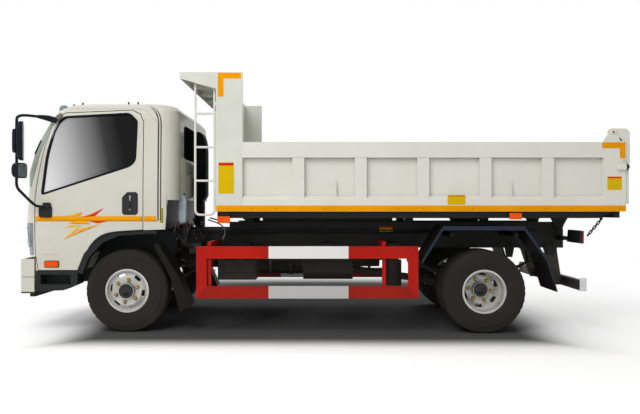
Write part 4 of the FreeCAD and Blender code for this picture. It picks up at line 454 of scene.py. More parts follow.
def lathe(bm, profile, place, count=24, capped=True):
    """Turn (radius, height) points about the placement's own Z."""
    angles = [TURN * k / count for k in range(count)]
    strip(bm, [[place @ Vector((radius * math.cos(angle), radius * math.sin(angle), height))
                for angle in angles] for radius, height in profile], capped=capped)


def bolt(bm, origin, direction, size=0.01, height=0.01):
    """A hexagon head on a washer."""
    place = aim(origin, direction)
    lathe(bm, ((size * 1.5, 0), (size * 1.5, 0.002)), place, 16)
    lathe(bm, ((size, 0.002), (size, height * 0.85), (size * 0.85, height)), place, 6)


def prism(bm, outline, depth, place):
    """An outline in the placement's X and Y, carried along its Z."""
    strip(bm, [[place @ Vector((x, y, z)) for x, y in outline] for z in (0, depth)], capped=True)


def slab(bm, low, high):
    """A box between two corners."""
    (x0, y0, z0), (x1, y1, z1) = low, high
    prism(bm, [(x0, y0), (x1, y0), (x1, y1), (x0, y1)], z1 - z0, at(0, 0, z0))


def side_prism(bm, outline, side, near, far):
    """An outline in X and height, between two distances from the truck's middle."""
    place = Matrix(((1, 0, 0, 0), (0, 0, side, side * near), (0, 1, 0, 0), (0, 0, 0, 1)))
    prism(bm, outline, far - near, place)


def eased(points, steps=6):
    """A smooth run through points."""
    points = [Vector(point) for point in points]
    result = []
    for k in range(len(points) - 1):
        a, b, c = points[max(k - 1, 0)], points[k], points[k + 1]
        d = points[min(k + 2, len(points) - 1)]
        for t in (i / steps for i in range(steps)):
            result.append(0.5 * (2 * b + (c - a) * t + (2 * a - 5 * b + 4 * c - d) * t * t
                                 + (3 * b - a - 3 * c + d) * t ** 3))
    return result + [points[-1]]


def tube(bm, points, radius, count=10, closed=False):
    """A round tube along a run of points."""
    points = [Vector(point) for point in points]
    total = len(points)
    angles = [TURN * k / count for k in range(count)]
    rows, across = [], None
    for i, point in enumerate(points):
        before = points[(i - 1) % total] if closed or i else point
        after = points[(i + 1) % total] if closed or i < total - 1 else point
        along = (after - before).normalized()
        across = along.orthogonal() if across is None else across
        across = (across - along * across.dot(along)).normalized()
        up = along.cross(across)
        rows.append([point + radius * (math.cos(angle) * across + math.sin(angle) * up)
                     for angle in angles])
    strip(bm, rows, closed_ends=closed, capped=not closed)


def rounded_block(bm, half, place, power=5.0, cuts=10, shape=None):
    """A soft-edged block; shape(point) may move points given from -1 to 1."""
    corners = {}
    for a, b, c, sign in ((0, 1, 2, 1), (0, 1, 2, -1), (1, 2, 0, 1), (1, 2, 0, -1), (2, 0, 1, 1),
                          (2, 0, 1, -1)):
        for i, j in ((i, j) for i in range(cuts) for j in range(cuts)):
            quad = []
            for di, dj in ((0, 0), (1, 0), (1, 1), (0, 1)):
                point = [0.0, 0.0, 0.0]
                point[a], point[b] = 2 * (i + di) / cuts - 1, 2 * (j + dj) / cuts - 1
                point[c] = sign
                key = tuple(round(part, 4) for part in point)
                if key not in corners:
                    spot = Vector(key) / sum(abs(part) ** power for part in key) ** (1 / power)
                    spot = shape(spot) if shape else spot
                    corners[key] = bm.verts.new(place @ (spot * Vector(half)))
                quad.append(corners[key])
            bm.faces.new(quad if sign > 0 else quad[::-1])


def piece(name, bm, body, look, bevel=0.0, sharp=38, segments=2, thick=0.0):
    """Make an object from a mesh in the making, and let it ride on a body."""
    bmesh.ops.recalc_face_normals(bm, faces=bm.faces)
    mesh = bpy.data.meshes.new(name)
    bm.to_mesh(mesh)
    bm.free()
    mesh.shade_smooth()
    mesh.set_sharp_from_angle(angle=math.radians(sharp))
    obj = linked(name, mesh)
    material, slot = FINISHES[look]
    mesh.materials.append(material)
    if bevel:
        rounding = obj.modifiers.new("rounding", "BEVEL")
        rounding.width, rounding.segments = bevel, segments
        rounding.limit_method, rounding.angle_limit = "ANGLE", math.radians(38)
    if thick:
        skin = obj.modifiers.new("thickness", "SOLIDIFY")
        skin.thickness, skin.offset = thick, -1.0
    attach(obj, body)
    return obj


def build(name, body, look, *shapes, **looks):
    """A piece made of shapes, each written as (function, what it takes after the mesh...)."""
    bm = bmesh.new()
    for shape, *sizes in shapes:
        shape(bm, *sizes)
    return piece(name, bm, body, look, **looks)


TREES = {}


def touch(names, origin, direction):
    """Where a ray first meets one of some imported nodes, or None."""
    best = None
    for name in names.split():
        if name not in TREES:
            mesh = NODES[name].data
            TREES[name] = BVHTree.FromPolygons([vertex.co for vertex in mesh.vertices],
                                               [face.vertices for face in mesh.polygons])
        spot, _, _, distance = TREES[name].ray_cast(origin, direction)
        if spot is not None and (best is None or distance < best[0]):
            best = (distance, spot)
    return best[1] if best else None


def beside(names, x, z, side):
    """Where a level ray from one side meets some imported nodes."""
    return touch(names, Vector((x, side * WIDE_OFF, z)), -OUT[side])


def width_at(names, x, z, side):
    """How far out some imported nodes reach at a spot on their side."""
    return abs(beside(names, x, z, side).y)


def ahead(names, y, z):
    """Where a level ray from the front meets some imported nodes."""
    return touch(names, Vector((-LONG_OFF, y, z)), REARWARD)


def behind(names, y, z):
    """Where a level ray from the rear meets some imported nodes."""
    return touch(names, Vector((LONG_OFF, y, z)), FORWARD)


def on_roof(x, y):
    """A placement on the cab's roof."""
    return Matrix.Translation(touch("cab_shell", Vector((x, y, LONG_OFF)), -UP))


FACING = 0.4                           # least cosine for a face to look along a direction
STRAIGHT = 0.9995                      # least cosine for a corner to be no corner
CUT_SHARE = 0.48                       # of the shorter edge, at most, goes into a round corner


def rim_of(name, direction, keep=lambda centre: True):
    """The outline, in order, of the faces of a node that look along a direction."""
    mesh = NODES[name].data
    edges = set()
    for face in mesh.polygons:
        if face.normal.dot(direction) < FACING or not keep(face.center):
            continue
        corners = [tuple(round(part, 5) for part in mesh.vertices[k].co) for k in face.vertices]
        edges.update(zip(corners, corners[1:] + corners[:1]))
    after = {first: second for first, second in edges if (second, first) not in edges}
    start = min(after)
    loop, spot = [Vector(start)], after[start]
    while spot != start:
        loop.append(Vector(spot))
        spot = after[spot]
    return loop


def softened(loop, reach, steps=5):
    """A closed outline with its corners rounded."""
    corners = [corner for before, corner, after in zip(loop[-1:] + loop, loop, loop[1:] + loop[:1])
               if (corner - before).normalized().dot((after - corner).normalized()) < STRAIGHT]
    result = []
    for before, corner, after in zip(corners[-1:] + corners, corners, corners[1:] + corners[:1]):
        before, after = before - corner, after - corner
        cut = min(reach, before.length * CUT_SHARE, after.length * CUT_SHARE)
        start, end = corner + before.normalized() * cut, corner + after.normalized() * cut
        for t in (i / steps for i in range(steps + 1)):
            result.append(start * (1 - t) ** 2 + corner * 2 * t * (1 - t) + end * t * t)
    return result


def seal(name, loop, direction, carriers, body, rows, reach):
    """A strip round an opening.

    Each row is (how far outside the outline, how far above the surface just outside it).
    """
    loop = softened(loop, reach)
    middle = sum(loop, Vector()) / len(loop)
    ring_rows = [[] for _ in rows]
    level = 0.0
    for k, spot in enumerate(loop):
        along = (loop[(k + 1) % len(loop)] - loop[k - 1]).normalized()
        outward = along.cross(direction).normalized()
        if outward.dot(spot - middle) < 0:
            outward = -outward
        start = spot + outward * (rows[0][0] + 0.004) + direction
        hit = touch(carriers, start, -direction)
        if hit is not None:
            level = (hit - spot).dot(direction)
        for row, (out, above) in zip(ring_rows, rows):
            row.append(spot + outward * out + direction * (level + above))
    bm = bmesh.new()
    strip(bm, ring_rows, closed_ends=True)
    piece(name, bm, body, "seal")


def laid(name, outline, side, carriers, body, look, lift=0.0012, step=0.03, thick=0.0008):
    """A thin sheet, given in X and height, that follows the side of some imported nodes."""
    bm = bmesh.new()
    bm.faces.new([bm.verts.new((x, 0, height)) for x, height in outline])
    for axis in (0, 2):
        values = [vertex.co[axis] for vertex in bm.verts]
        low, high = min(values), max(values)
        count = int((high - low) / step)
        for i in range(count):
            spot, normal = Vector(), Vector()
            spot[axis], normal[axis] = low + (high - low) * (i + 1) / (count + 1), 1
            geometry = bm.verts[:] + bm.edges[:] + bm.faces[:]
            bmesh.ops.bisect_plane(bm, geom=geometry, plane_co=spot, plane_no=normal)
    missed, found = [], []
    for vertex in bm.verts:
        hit = beside(carriers, vertex.co.x, vertex.co.z, side)
        (missed if hit is None else found).append(vertex)
        if hit is not None:
            vertex.co.y = hit.y + side * lift
    for vertex in missed:
        vertex.co.y = min(found, key=lambda v: (v.co.xz - vertex.co.xz).length).co.y
    bmesh.ops.triangulate(bm, faces=[face for face in bm.faces if len(face.verts) > 4])
    piece(name, bm, body, look, thick=thick)


def oblong(low_x, high_x, low_z, high_z, corner=0.0, steps=4):
    """A rectangle in X and height, with round corners where asked."""
    if not corner:
        return [(low_x, low_z), (high_x, low_z), (high_x, high_z), (low_x, high_z)]
    result = []
    for x, z, start in ((high_x - corner, low_z + corner, -90),
                        (high_x - corner, high_z - corner, 0),
                        (low_x + corner, high_z - corner, 90),
                        (low_x + corner, low_z + corner, 180)):
        for i in range(steps + 1):
            angle = math.radians(start + 90 * i / steps)
            result.append((x + corner * math.cos(angle), z + corner * math.sin(angle)))
    return result


# ---------------------------------------------------------------- wheels

TYRE_HALF = 0.1075
TREAD_GROOVES = (-0.054, -0.018, 0.018, 0.054)
TREAD_RADIUS, GROOVE_HALF, GROOVE_DEPTH = 0.406, 0.0048, 0.0105
SEGMENTS = 240
SHOULDER = ((0.09, 0.3935), (0.083, 0.4005))
SIDE_WALL = (
    (0.078, 0.206), (0.086, 0.212), (0.092, 0.226), (0.0965, 0.23), (0.0965, 0.2335),
    (0.1005, 0.252), (0.1035, 0.272), (0.1038, 0.274), (0.1052, 0.2745), (0.1063, 0.296),
    (0.1066, 0.315), (0.1058, 0.332), (0.1072, 0.334), (0.1072, 0.3375), (0.1052, 0.339),
    (0.1025, 0.356), (0.099, 0.37), (0.0965, 0.3765), (0.0955, 0.384))


def tyre_section():
    """A tyre's section, from bead to bead: (across, radius, kind)."""
    ribs = []
    for groove in TREAD_GROOVES:
        crown = TREAD_RADIUS - 0.62 * groove * groove
        for share, radius in ((-1, crown), (-0.6, crown - GROOVE_DEPTH),
                              (0.6, crown - GROOVE_DEPTH), (1, crown)):
            ribs.append((groove + share * GROOVE_HALF, radius, "rib"))
    ribs.insert(len(ribs) // 2, (0.0, TREAD_RADIUS, "rib"))
    half = [(*spot, "wall") for spot in SIDE_WALL] + [(*spot, "shoulder") for spot in SHOULDER]
    return [(-across, radius, kind) for across, radius, kind in half] + ribs + half[::-1]


def tyre(bm, centre):
    """A radial tyre about a Y axis, with zigzag ribs and notched shoulders."""
    rows = []
    for across, radius, kind in tyre_section():
        row = []
        for k in range(SEGMENTS):
            shift = 0.0042 * (4 * abs((k % 8) / 8 - 0.5) - 1) if kind == "rib" else 0.0
            notched = radius - (0.0032 if kind == "shoulder" and k % 6 < 2 else 0.0)
            row.append(around(centre, notched, TURN * k / SEGMENTS, centre.y + across + shift))
        rows.append(row)
    strip(bm, rows, closed_ends=True)


def around(centre, radius, angle, y):
    """A spot on a wheel's circle."""
    return Vector((centre.x + radius * math.cos(angle), y, centre.z + radius * math.sin(angle)))


def make_tyres():
    """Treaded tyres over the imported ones."""
    for tag, side in SIDES:
        for name, node, body in (("tyre_front_", "front_tyre_", "front_%s_wheel"),
                                 ("tyres_rear_", "rear_tyres_", "rear_%s_wheel")):
            low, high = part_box(node + tag)
            centre = (low + high) / 2
            twins = (low.y + TYRE_HALF, high.y - TYRE_HALF)
            tyres = [(tyre, Vector((centre.x, y, centre.z)))
                     for y in ((centre.y,) if node == "front_tyre_" else twins)]
            made = build(name + tag, body % tag, "rubber", *tyres, sharp=50)
            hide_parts(node + tag)


STUD_RING, STUDS = 0.111, 6
CAP_BOLT_RING, CAP_BOLTS = 0.0595, 8
VALVE_RING, VALVE_ANGLE, VALVE_LEAN = 0.186, math.radians(-38), 0.35


def disc_spots(node, centre, side):
    """The stud circle's first angle, and the disc's outer face and the studs' height by it."""
    depths = []
    for step in range(60):
        spot = around(centre, STUD_RING, math.radians(step), 0)
        hit = beside(node, spot.x, spot.z, side)
        depths.append(abs(hit.y) if hit else 0.0)
    top, face = max(depths), min(depth for depth in depths if depth > 0.5)
    tall = [step for step, depth in enumerate(depths) if depth > top - 0.004]
    if tall[0] == 0 and tall[-1] == 59:
        tall = [step if step < 30 else step - 60 for step in tall]
    return math.radians(sum(tall) / len(tall)), face, top


def make_wheel_fittings():
    """Hexagon nuts, hub caps, valves and lock-ring lines."""
    for tag, side in SIDES:
        for axle, node, cap in (("front", "front_rim_", 0.034), ("rear", "rear_rims_", 0.042)):
            node, body, ending = node + tag, "%s_%s_wheel" % (axle, tag), "%s_%s" % (axle, tag)
            low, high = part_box(node)
            centre = (low + high) / 2
            first, face, stud_top = disc_spots(node, centre, side)
            stud = stud_top - face
            nuts = []
            for angle in (first + TURN * k / STUDS for k in range(STUDS)):
                place = aim(around(centre, STUD_RING, angle, side * face), OUT[side], angle)
                nuts += [
                    (lathe, ((0.0215, 0), (0.0215, 0.003), (0.0185, 0.0045)), place, 20),
                    (lathe, ((0.0178, 0.0045), (0.0178, 0.0185), (0.015, 0.0215)), place, 6),
                    (lathe, ((0.0112, 0.02), (0.0112, stud + 0.0005), (0.0095, stud + 0.0022)),
                     place, 14)]
            build("nuts_" + ending, body, "brass", *nuts, bevel=0.0008)
            reach = cap + 0.0006
            place = aim(Vector((centre.x, side * face, centre.z)), OUT[side])
            hub = [(lathe, ((0.0808, 0.001), (0.0808, reach - 0.01), (0.0765, reach - 0.002),
                            (0.07, reach), (0.048, reach + 0.0008), (0.045, reach + 0.004),
                            (0.03, reach + 0.0062), (0.027, reach + 0.0085),
                            (0.013, reach + 0.0095), (0.0115, reach + 0.0125)), place, 40)]
            for angle in (TURN * k / CAP_BOLTS + math.radians(22) for k in range(CAP_BOLTS)):
                spot = place @ Vector((CAP_BOLT_RING * math.cos(angle),
                                       CAP_BOLT_RING * math.sin(angle), reach))
                hub.append((lathe, ((0.0062, 0), (0.0062, 0.0045)),
                            aim(spot, OUT[side], angle), 6))
            build("hub_cap_" + ending, body, "gloss black", *hub, bevel=0.001)
            flange = max(abs(low.y), abs(high.y))
            if axle == "front":
                flange = width_at(node, centre.x + 0.224, centre.z, side)
            place = aim(Vector((centre.x, side * (flange - 0.012), centre.z)), OUT[side])
            build("lock_ring_" + ending, body, "rim",
                  (lathe, ((0.2065, 0.0), (0.2085, 0.0055), (0.212, 0.007), (0.215, 0.0048),
                           (0.216, 0.0)), place, 72, False))
            foot = around(centre, VALVE_RING, VALVE_ANGLE, side * (flange - 0.052))
            tip = around(Vector(), -VALVE_LEAN, VALVE_ANGLE, side * 0.94)
            build("valve_" + ending, body, "steel",
                  (lathe, ((0.006, 0), (0.006, 0.008), (0.0036, 0.009), (0.0036, 0.03),
                           (0.0046, 0.031), (0.0046, 0.04)), aim(foot, tip), 12))


# ---------------------------------------------------------------- bed

SHEET, PRINT = 0.0012, 0.0006          # how thick tape and stickers are, and print on them
SIDE_TAPES = {                         # low X, high X, low Z, high Z
    "post_top": (-0.985, -0.76, 2.47, 2.525), "post_side": (-0.985, -0.93, 2.295, 2.47),
    "rear_top": (2.72, 2.944, 1.797, 1.854), "rear_side": (2.891, 2.944, 1.7, 1.797)}
STICKERS = {"front": (-0.98, -0.83, 1.36, 1.66, 0.1), "rail": (1.23, 1.4, 1.252, 1.345, 0.13),
            "rear": (2.77, 2.91, 1.395, 1.525, 0.13)}   # the last is the red head's share
MARKERS = {"front": (-0.99, -0.87, 1.075, 1.14), "rear": (1.83, 1.95, 1.11, 1.172)}
SCREWS = 17


def proud(tag, side, body, face, rows):
    """Plates on a side: (name, look, outline, start and end from the face, bevel if any)."""
    for name, look, outline, near, far, *looks in rows:
        build("%s_%s" % (name, tag), body, look,
              (side_prism, outline, side, face + near, face + far), **dict(*looks))


def make_bed_marks():
    """Orange stripe and corner angles, blank stickers and side markers."""
    low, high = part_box("bed_tub")
    face = high.y
    stripe = (low.x - 0.042, high.x - 0.002, low.z + 0.001, low.z + 0.058)
    plates = [(name, "tape", oblong(*rect), 0, SHEET)
              for name, rect in {"stripe": stripe, **SIDE_TAPES}.items()]
    for name, (x0, x1, z0, z1, share) in STICKERS.items():
        head = oblong(x0 + 0.004, x1 - 0.004, z1 - share * (z1 - z0), z1 - 0.004)
        plates += [("sticker_" + name, "sticker", oblong(x0, x1, z0, z1, 0.004), 0, SHEET),
                   ("sticker_%s_head" % name, "sticker red", head, SHEET, SHEET + PRINT)]
    markers = []
    for name, (x0, x1, z0, z1) in MARKERS.items():
        bracket = oblong(x0 + 0.01, x1 - 0.01, z0 + 0.01, low.z)
        markers += [("marker_" + name, "amber", oblong(x0, x1, z0, z1, 0.006), -0.026, -0.004,
                     {"bevel": 0.006}),
                    ("marker_%s_bracket" % name, "chassis", bracket, -0.032, -0.026)]
    screws = [low.x + 0.06 + (high.x - low.x - 0.12) * k / (SCREWS - 1) for k in range(SCREWS)]
    for tag, side in SIDES:
        proud(tag, side, "bed", face, plates)
        build("stripe_screws_" + tag, "bed", "sticker ink", *(
            (lathe, ((0.0062, 0), (0.0058, 0.0022), (0.003, 0.003)),
             aim((x, side * (face + SHEET), low.z + 0.03), OUT[side]), 12) for x in screws))
        proud(tag, side, "bed", face, markers)


FIRST_POST, POST_PITCH, POSTS, WELD_OFF = -0.208, 0.602, 5, 0.0598
GATE_RIB_PITCH = 0.29


def make_bed_details():
    """Weld seams, rope fins, latches and the gate's fittings."""
    low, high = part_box("bed_tub")
    face = high.y
    ledge, top = low.z + 0.15, low.z + 0.512
    for tag, side in SIDES:
        panel = width_at("bed_tub", 0.15, 1.55, side)
        weld = side * (panel + 0.003)
        posts = [FIRST_POST + POST_PITCH * k + edge for k in range(POSTS)
                 for edge in (-WELD_OFF, WELD_OFF)]
        runs = [[(x, weld, ledge + 0.01), (x, weld, top - 0.01)] for x in posts]
        runs.append([(low.x + 0.2, weld, top), (high.x - 0.22, weld, top)])
        build("side_welds_" + tag, "bed", "bed", *((tube, run, 0.0045, 6) for run in runs))
        build("rope_fins_" + tag, "bed", "bed", *(
            (side_prism, [(x - 0.003, ledge), (x + 0.013, ledge), (x + 0.009, ledge + 0.09),
                          (x + 0.002, ledge + 0.135), (x - 0.003, ledge + 0.145)],
             side, panel - 0.001, panel + 0.034) for x in (0.15, 1.85)), bevel=0.001)
        build("latch_" + tag, "bed", "bed",
              (side_prism, oblong(2.862, 2.946, 1.588, 1.65, 0.01), side, face, face + 0.03),
              (side_prism, oblong(2.878, 2.946, 1.576, 1.589), side, face, face + 0.016),
              (side_prism, oblong(2.912, 2.95, 1.684, 1.694), side, face, face + 0.012),
              bevel=0.003)
        build("latch_knob_" + tag, "bed", "loom",
              (lathe, ((0.027, 0), (0.031, 0.007), (0.029, 0.021), (0.019, 0.033), (0.006, 0.037)),
               aim((2.944, side * (face + 0.002), 1.619), REARWARD), 20))
        x, z = 2.822, 1.954
        pin = aim((x, side * width_at("bed_tub tailgate", x, z, side), z), OUT[side])
        build("gate_pin_head_" + tag, "bed", "bed",
              (lathe, ((0.026, 0), (0.026, 0.004), (0.022, 0.006)), pin, 24),
              (lathe, ((0.0125, 0.006), (0.0125, 0.014), (0.01, 0.016)), pin, 6), bevel=0.0008)
        build("gate_pin_end_" + tag, "bed", "chassis",
              (lathe, ((0.0085, 0.0155), (0.0085, 0.0175), (0.006, 0.0185)), pin, 16))
        gusset = [(2.876, 1.867), (2.955, 1.862), (2.955, 1.905), (2.88, 1.915)]
        # A dark sheet in the ear's slot: painted shade where the slot lies in shadow
        slot = [(2.895, 1.902), (2.904, 1.902), (2.925, 1.872), (2.908, 1.872)]
        proud(tag, side, "gate", 0, (("gate_gusset", "bed", gusset, 1.05, 1.058),
                                     ("gate_slot", "seal", slot, 1.058, 1.06)))
    low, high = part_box("tailgate")
    rear = behind("tailgate", 0.05, 1.55).x
    ribs = [(y - 0.03, y + 0.03, low.z + 0.12, high.z - 0.26, 0.022)
            for y in (k * GATE_RIB_PITCH for k in range(-3, 4))]
    ribs += [(-1.02, 1.02, low.z + 0.03, low.z + 0.12, 0.024),
             (-1.02, 1.02, high.z - 0.26, high.z - 0.17, 0.024)]
    build("gate_ribs", "gate", "bed", *(
        (slab, (rear - 0.004, y0, z0), (min(rear + deep, high.x), y1, z1))
        for y0, y1, z0, z1, deep in ribs), bevel=0.003)
    build("gate_plate", "gate", "sticker",
          (slab, (rear + 0.022, -0.26, 1.32), (rear + 0.026, 0.26, 1.43)), bevel=0.001)


# ---------------------------------------------------------------- cab

STRIPE_LOW, STRIPE_HIGH = 1.09, 1.14
REAR_GLASS_LOW = 1.75                  # below it the rear wall's panel covers the window


def make_windows():
    """Black seals round the side windows, windscreen and rear window."""
    for tag, side in SIDES:
        seal("window_seal_" + tag, rim_of("door_glass_" + tag, OUT[side]), OUT[side],
             "door_" + tag, tag + "_door",
             ((0.0125, 0.0006), (0.01, 0.0035), (-0.001, 0.004), (-0.009, -0.006),
              (-0.01, -0.0165), (0.006, -0.0165)), 0.09)
    front = rim_of("cab_windows", FORWARD, lambda centre: centre.x < -2.0)
    seal("windscreen_seal", front, FORWARD, "cab_shell", "cab",
         ((0.016, 0.0006), (0.012, 0.004), (-0.01, 0.003), (-0.034, -0.006), (-0.034, -0.0075),
          (0.008, -0.0075)), 0.1)
    back = rim_of("cab_windows", REARWARD, lambda centre: centre.x > -2.0)
    seal("rear_window_seal", [spot for spot in back if spot.z > REAR_GLASS_LOW], REARWARD,
         "cab_shell cab_windows", "cab",
         ((0.018, 0.0006), (0.014, 0.004), (-0.006, 0.004), (-0.02, -0.004), (-0.02, -0.01),
          (0.01, -0.01)), 0.1)


def make_handles():
    """Recessed door handles."""
    x0, x1, z0, z1, corner, inset = -1.941, -1.785, 1.153, 1.377, 0.052, 0.012
    outline = [(x0 + 0.02, z0), (x1 - 0.02, z0), (x1, z0 + 0.02), (x1, z1 - 0.022),
               (x1 - 0.018, z1), (x0 + corner, z1), (x0, z1 - corner), (x0, z0 + 0.02)]
    inner = [(x + (inset if x < -1.86 else -inset), z + (inset if z < 1.26 else -inset))
             for x, z in outline]
    x = (x0 + x1) / 2 + 0.002
    bar = [(x - 0.017, z1 - 0.03), (x + 0.017, z1 - 0.03), (x + 0.012, z1 - 0.1),
           (x + 0.01, z0 + 0.035), (x - 0.01, z0 + 0.035), (x - 0.012, z1 - 0.1)]
    shine = [(x - 0.01, z1 - 0.034), (x + 0.01, z1 - 0.034), (x + 0.005, z1 - 0.088),
             (x - 0.005, z1 - 0.088)]
    for tag, side in SIDES:
        surface = width_at("door_" + tag, x0 + 0.05, z0 + 0.1, side)
        proud(tag, side, tag + "_door", surface, (
            ("handle_rim", "plastic", outline, -0.004, 0.003, {"bevel": 0.002}),
            ("handle_dish", "gloss black", inner, 0.003, 0.0036),
            ("handle_bar", "plastic", bar, 0.004, 0.009, {"bevel": 0.003}),
            ("handle_shine", "reflector", shine, 0.009, 0.0096)))
        build("handle_lock_" + tag, tag + "_door", "steel",
              (lathe, ((0.01, 0), (0.01, 0.004), (0.007, 0.005)),
               aim((x, side * (surface + 0.0088), z0 + 0.052), OUT[side]), 18))


SHARDS = (
    ("red", ((-2.335, 1.132), (-2.245, 1.16), (-2.115, 1.222), (-2.205, 1.142))),
    ("red", ((-2.275, 1.094), (-2.175, 1.07), (-2.075, 1.094))),
    ("orange", ((-2.44, 1.15), (-2.33, 1.182), (-2.35, 1.146))),
    ("yellow", ((-2.49, 1.146), (-2.4, 1.166), (-2.395, 1.142))),
    ("orange", ((-2.5, 0.918), (-2.33, 0.99), (-2.15, 1.062), (-2.335, 1.02))),
    ("yellow", ((-2.52, 0.905), (-2.415, 0.98), (-2.345, 1.04), (-2.405, 1.018))),
    ("yellow", ((-2.505, 1.028), (-2.43, 1.058), (-2.33, 1.046), (-2.435, 1.036))),
    ("orange", ((-2.465, 1.072), (-2.395, 1.096), (-2.3, 1.096), (-2.255, 1.062))),
)


def make_stripes():
    """The orange waist stripe and a generic burst of shards over it."""
    for tag, side in SIDES:
        door, body = "door_" + tag, tag + "_door"
        low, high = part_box(door)
        laid("stripe_door_" + tag, oblong(low.x + 0.004, high.x - 0.004, STRIPE_LOW, STRIPE_HIGH),
             side, door, body, "tape")
        laid("stripe_cab_" + tag, oblong(high.x + 0.016, -1.6, STRIPE_LOW, STRIPE_HIGH), side,
             "cab_shell", "cab", "tape")
        for k, (hue, outline) in enumerate(SHARDS):
            laid("shard_%d_%s" % (k, tag), outline, side, door, body, "flame " + hue,
                 lift=0.0019 + 0.0004 * k, thick=0.0005)


def make_cab_lamps():
    """Door side lamps, roof lamps, headlamp bowls and fog lamps."""
    for tag, side in SIDES:
        door, body = "door_" + tag, tag + "_door"
        proud(tag, side, body, width_at(door, -2.63, 0.67, side), (
            ("side_lamp_base", "seal", oblong(-2.708, -2.56, 0.636, 0.704, 0.014), -0.004, 0.003,
             {"bevel": 0.001}),
            ("side_lamp", "amber", oblong(-2.702, -2.566, 0.642, 0.698, 0.012), 0.002, 0.013,
             {"bevel": 0.005, "segments": 3})))
        crease = [(-2.72, 0.7665), (-2.57, 0.7645), (-2.57, 0.7715), (-2.72, 0.7735)]
        proud(tag, side, body, width_at(door, -2.63, 0.77, side),
              (("door_crease", "cab", crease, -0.002, 0.0035, {"bevel": 0.0015}),))
        lamps = [aim(ahead("headlamps", side * y, 0.905) + REARWARD * 0.048, FORWARD)
                 for y in (0.7, 0.875)]
        build("lamp_bowls_" + tag, "cab", "reflector", *(
            (lathe, ((0.012, 0.001), (0.03, 0.003), (0.055, 0.01), (0.078, 0.024),
                     (0.081, 0.024), (0.081, 0.0)), place, 36, False) for place in lamps))
        build("lamp_bulbs_" + tag, "cab", "milky", *(
            (lathe, ((0.013, 0.004), (0.013, 0.016), (0.008, 0.02)), place, 20)
            for place in lamps))
        fog = aim(ahead("front_bumper", side * 0.72, 0.56), FORWARD)
        build("fog_rim_" + tag, "chassis", "plastic",
              (lathe, ((0.062, -0.012), (0.062, 0.004), (0.054, 0.006), (0.052, -0.004)), fog, 32,
               False))
        build("fog_lens_" + tag, "chassis", "reflector",
              (lathe, ((0.053, -0.006), (0.053, -0.001), (0.035, 0.003), (0.01, 0.004)), fog, 32))
    for name, y in (("near", -0.7), ("far", 0.7)):
        place = on_roof(-2.612, y)
        build("roof_lamp_" + name, "cab", "dome",
              (lathe, ((0.048, -0.03), (0.048, 0.042), (0.045, 0.056), (0.035, 0.07),
                       (0.018, 0.077), (0.004, 0.079)), place, 28))
        build("roof_lamp_base_" + name, "cab", "cab",
              (lathe, ((0.053, -0.03), (0.053, 0.008), (0.049, 0.014)), place, 28))
    build("roof_plugs", "cab", "seal", *(
        (lathe, ((0.009, -0.006), (0.009, 0.016), (0.006, 0.022)), on_roof(x, y), 12)
        for x in (-2.49, -2.4, -1.935, -1.84) for y in (-0.76, 0.76)))


def make_arch_trim():
    """A smooth lip on the door along the wheel arch, and the arch's liner."""
    outer = ((-2.38, 0.604), (-2.338, 0.702), (-2.298, 0.784), (-2.249, 0.865), (-2.19, 0.925),
             (-2.116, 0.968), (-2.016, 0.99), (-1.902, 1.000), (-1.745, 1.006))
    inner = [(-1.745, 0.999), (-2.022, 0.977), (-2.18, 0.907), (-2.307, 0.764), (-2.374, 0.604)]
    liner = [(-2.55, 0.45), (-2.25, 0.45), (-2.25, 0.6), (-1.5, 0.6), (-1.5, 0.985),
             (-2.55, 0.985)]
    smooth = [tuple(spot.xz) for spot in eased([(x, 0, z) for x, z in outer], 4)]
    for tag, side in SIDES:
        laid("arch_trim_" + tag, smooth + inner, side, "door_" + tag, tag + "_door", "plastic",
             lift=0.003, thick=0.004, step=0.04)
        build("arch_liner_" + tag, "cab", "plastic", (side_prism, liner, side, 0.487, 0.493))


def make_cab_front():
    """Bumper lip and lines, plate, slots, the grille's frame and the wipers."""
    low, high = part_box("front_bumper")
    build("bumper_lip", "chassis", "plastic",
          (slab, (low.x + 0.12, -0.9, 0.342), (low.x + 0.178, 0.9, low.z + 0.003)), bevel=0.006)
    for tag, side in SIDES:
        laid("bumper_line_" + tag, oblong(-2.985, -2.795, 0.541, 0.546), side, "front_bumper",
             "chassis", "bumper shade")
    build("front_plate", "chassis", "plate",
          (slab, (low.x - 0.004, -0.26, 0.5), (low.x + 0.006, 0.26, 0.61)), bevel=0.002)
    build("bumper_slots", "chassis", "plastic", *(
        (slab, (low.x - 0.0006, -0.42, z), (low.x + 0.004, 0.42, z + 0.028))
        for z in (0.455, 0.63)), bevel=0.001)
    low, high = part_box("front_grille")
    loop = []
    for y, z in oblong(-0.585, 0.585, low.z + 0.008, high.z - 0.008, 0.02):
        hit = ahead("front_grille cab_shell", y, z)
        loop.append(Vector((hit.x if hit else high.x, y, z)))
    build("grille_frame", "cab", "alloy", (tube, loop, 0.007, 8, True))
    for k, (base_y, tip_y) in enumerate(((-0.6, -0.02), (0.02, 0.6))):
        points = []
        for share in (0.0, 0.25, 0.5, 0.75, 1.0):
            hit = ahead("cab_windows cab_shell", base_y + (tip_y - base_y) * share,
                        1.395 + 0.085 * share)
            points.append(hit + FORWARD * (0.022 if share else 0.012))
        foot = aim(ahead("cab_shell", base_y, 1.385), FORWARD)
        build("wiper_arm_%d" % k, "cab", "plastic", (tube, eased(points, 4), 0.005, 8),
              (lathe, ((0.019, 0), (0.017, 0.016), (0.01, 0.02)), foot, 20))
        blade = [ahead("cab_windows cab_shell", points[-1].y + (share - 0.5) * 0.52,
                       1.475 + 0.01 * share) + FORWARD * 0.01
                 for share in (step / 8 for step in range(9))]
        build("wiper_blade_%d" % k, "cab", "seal", (tube, blade, 0.006, 8))


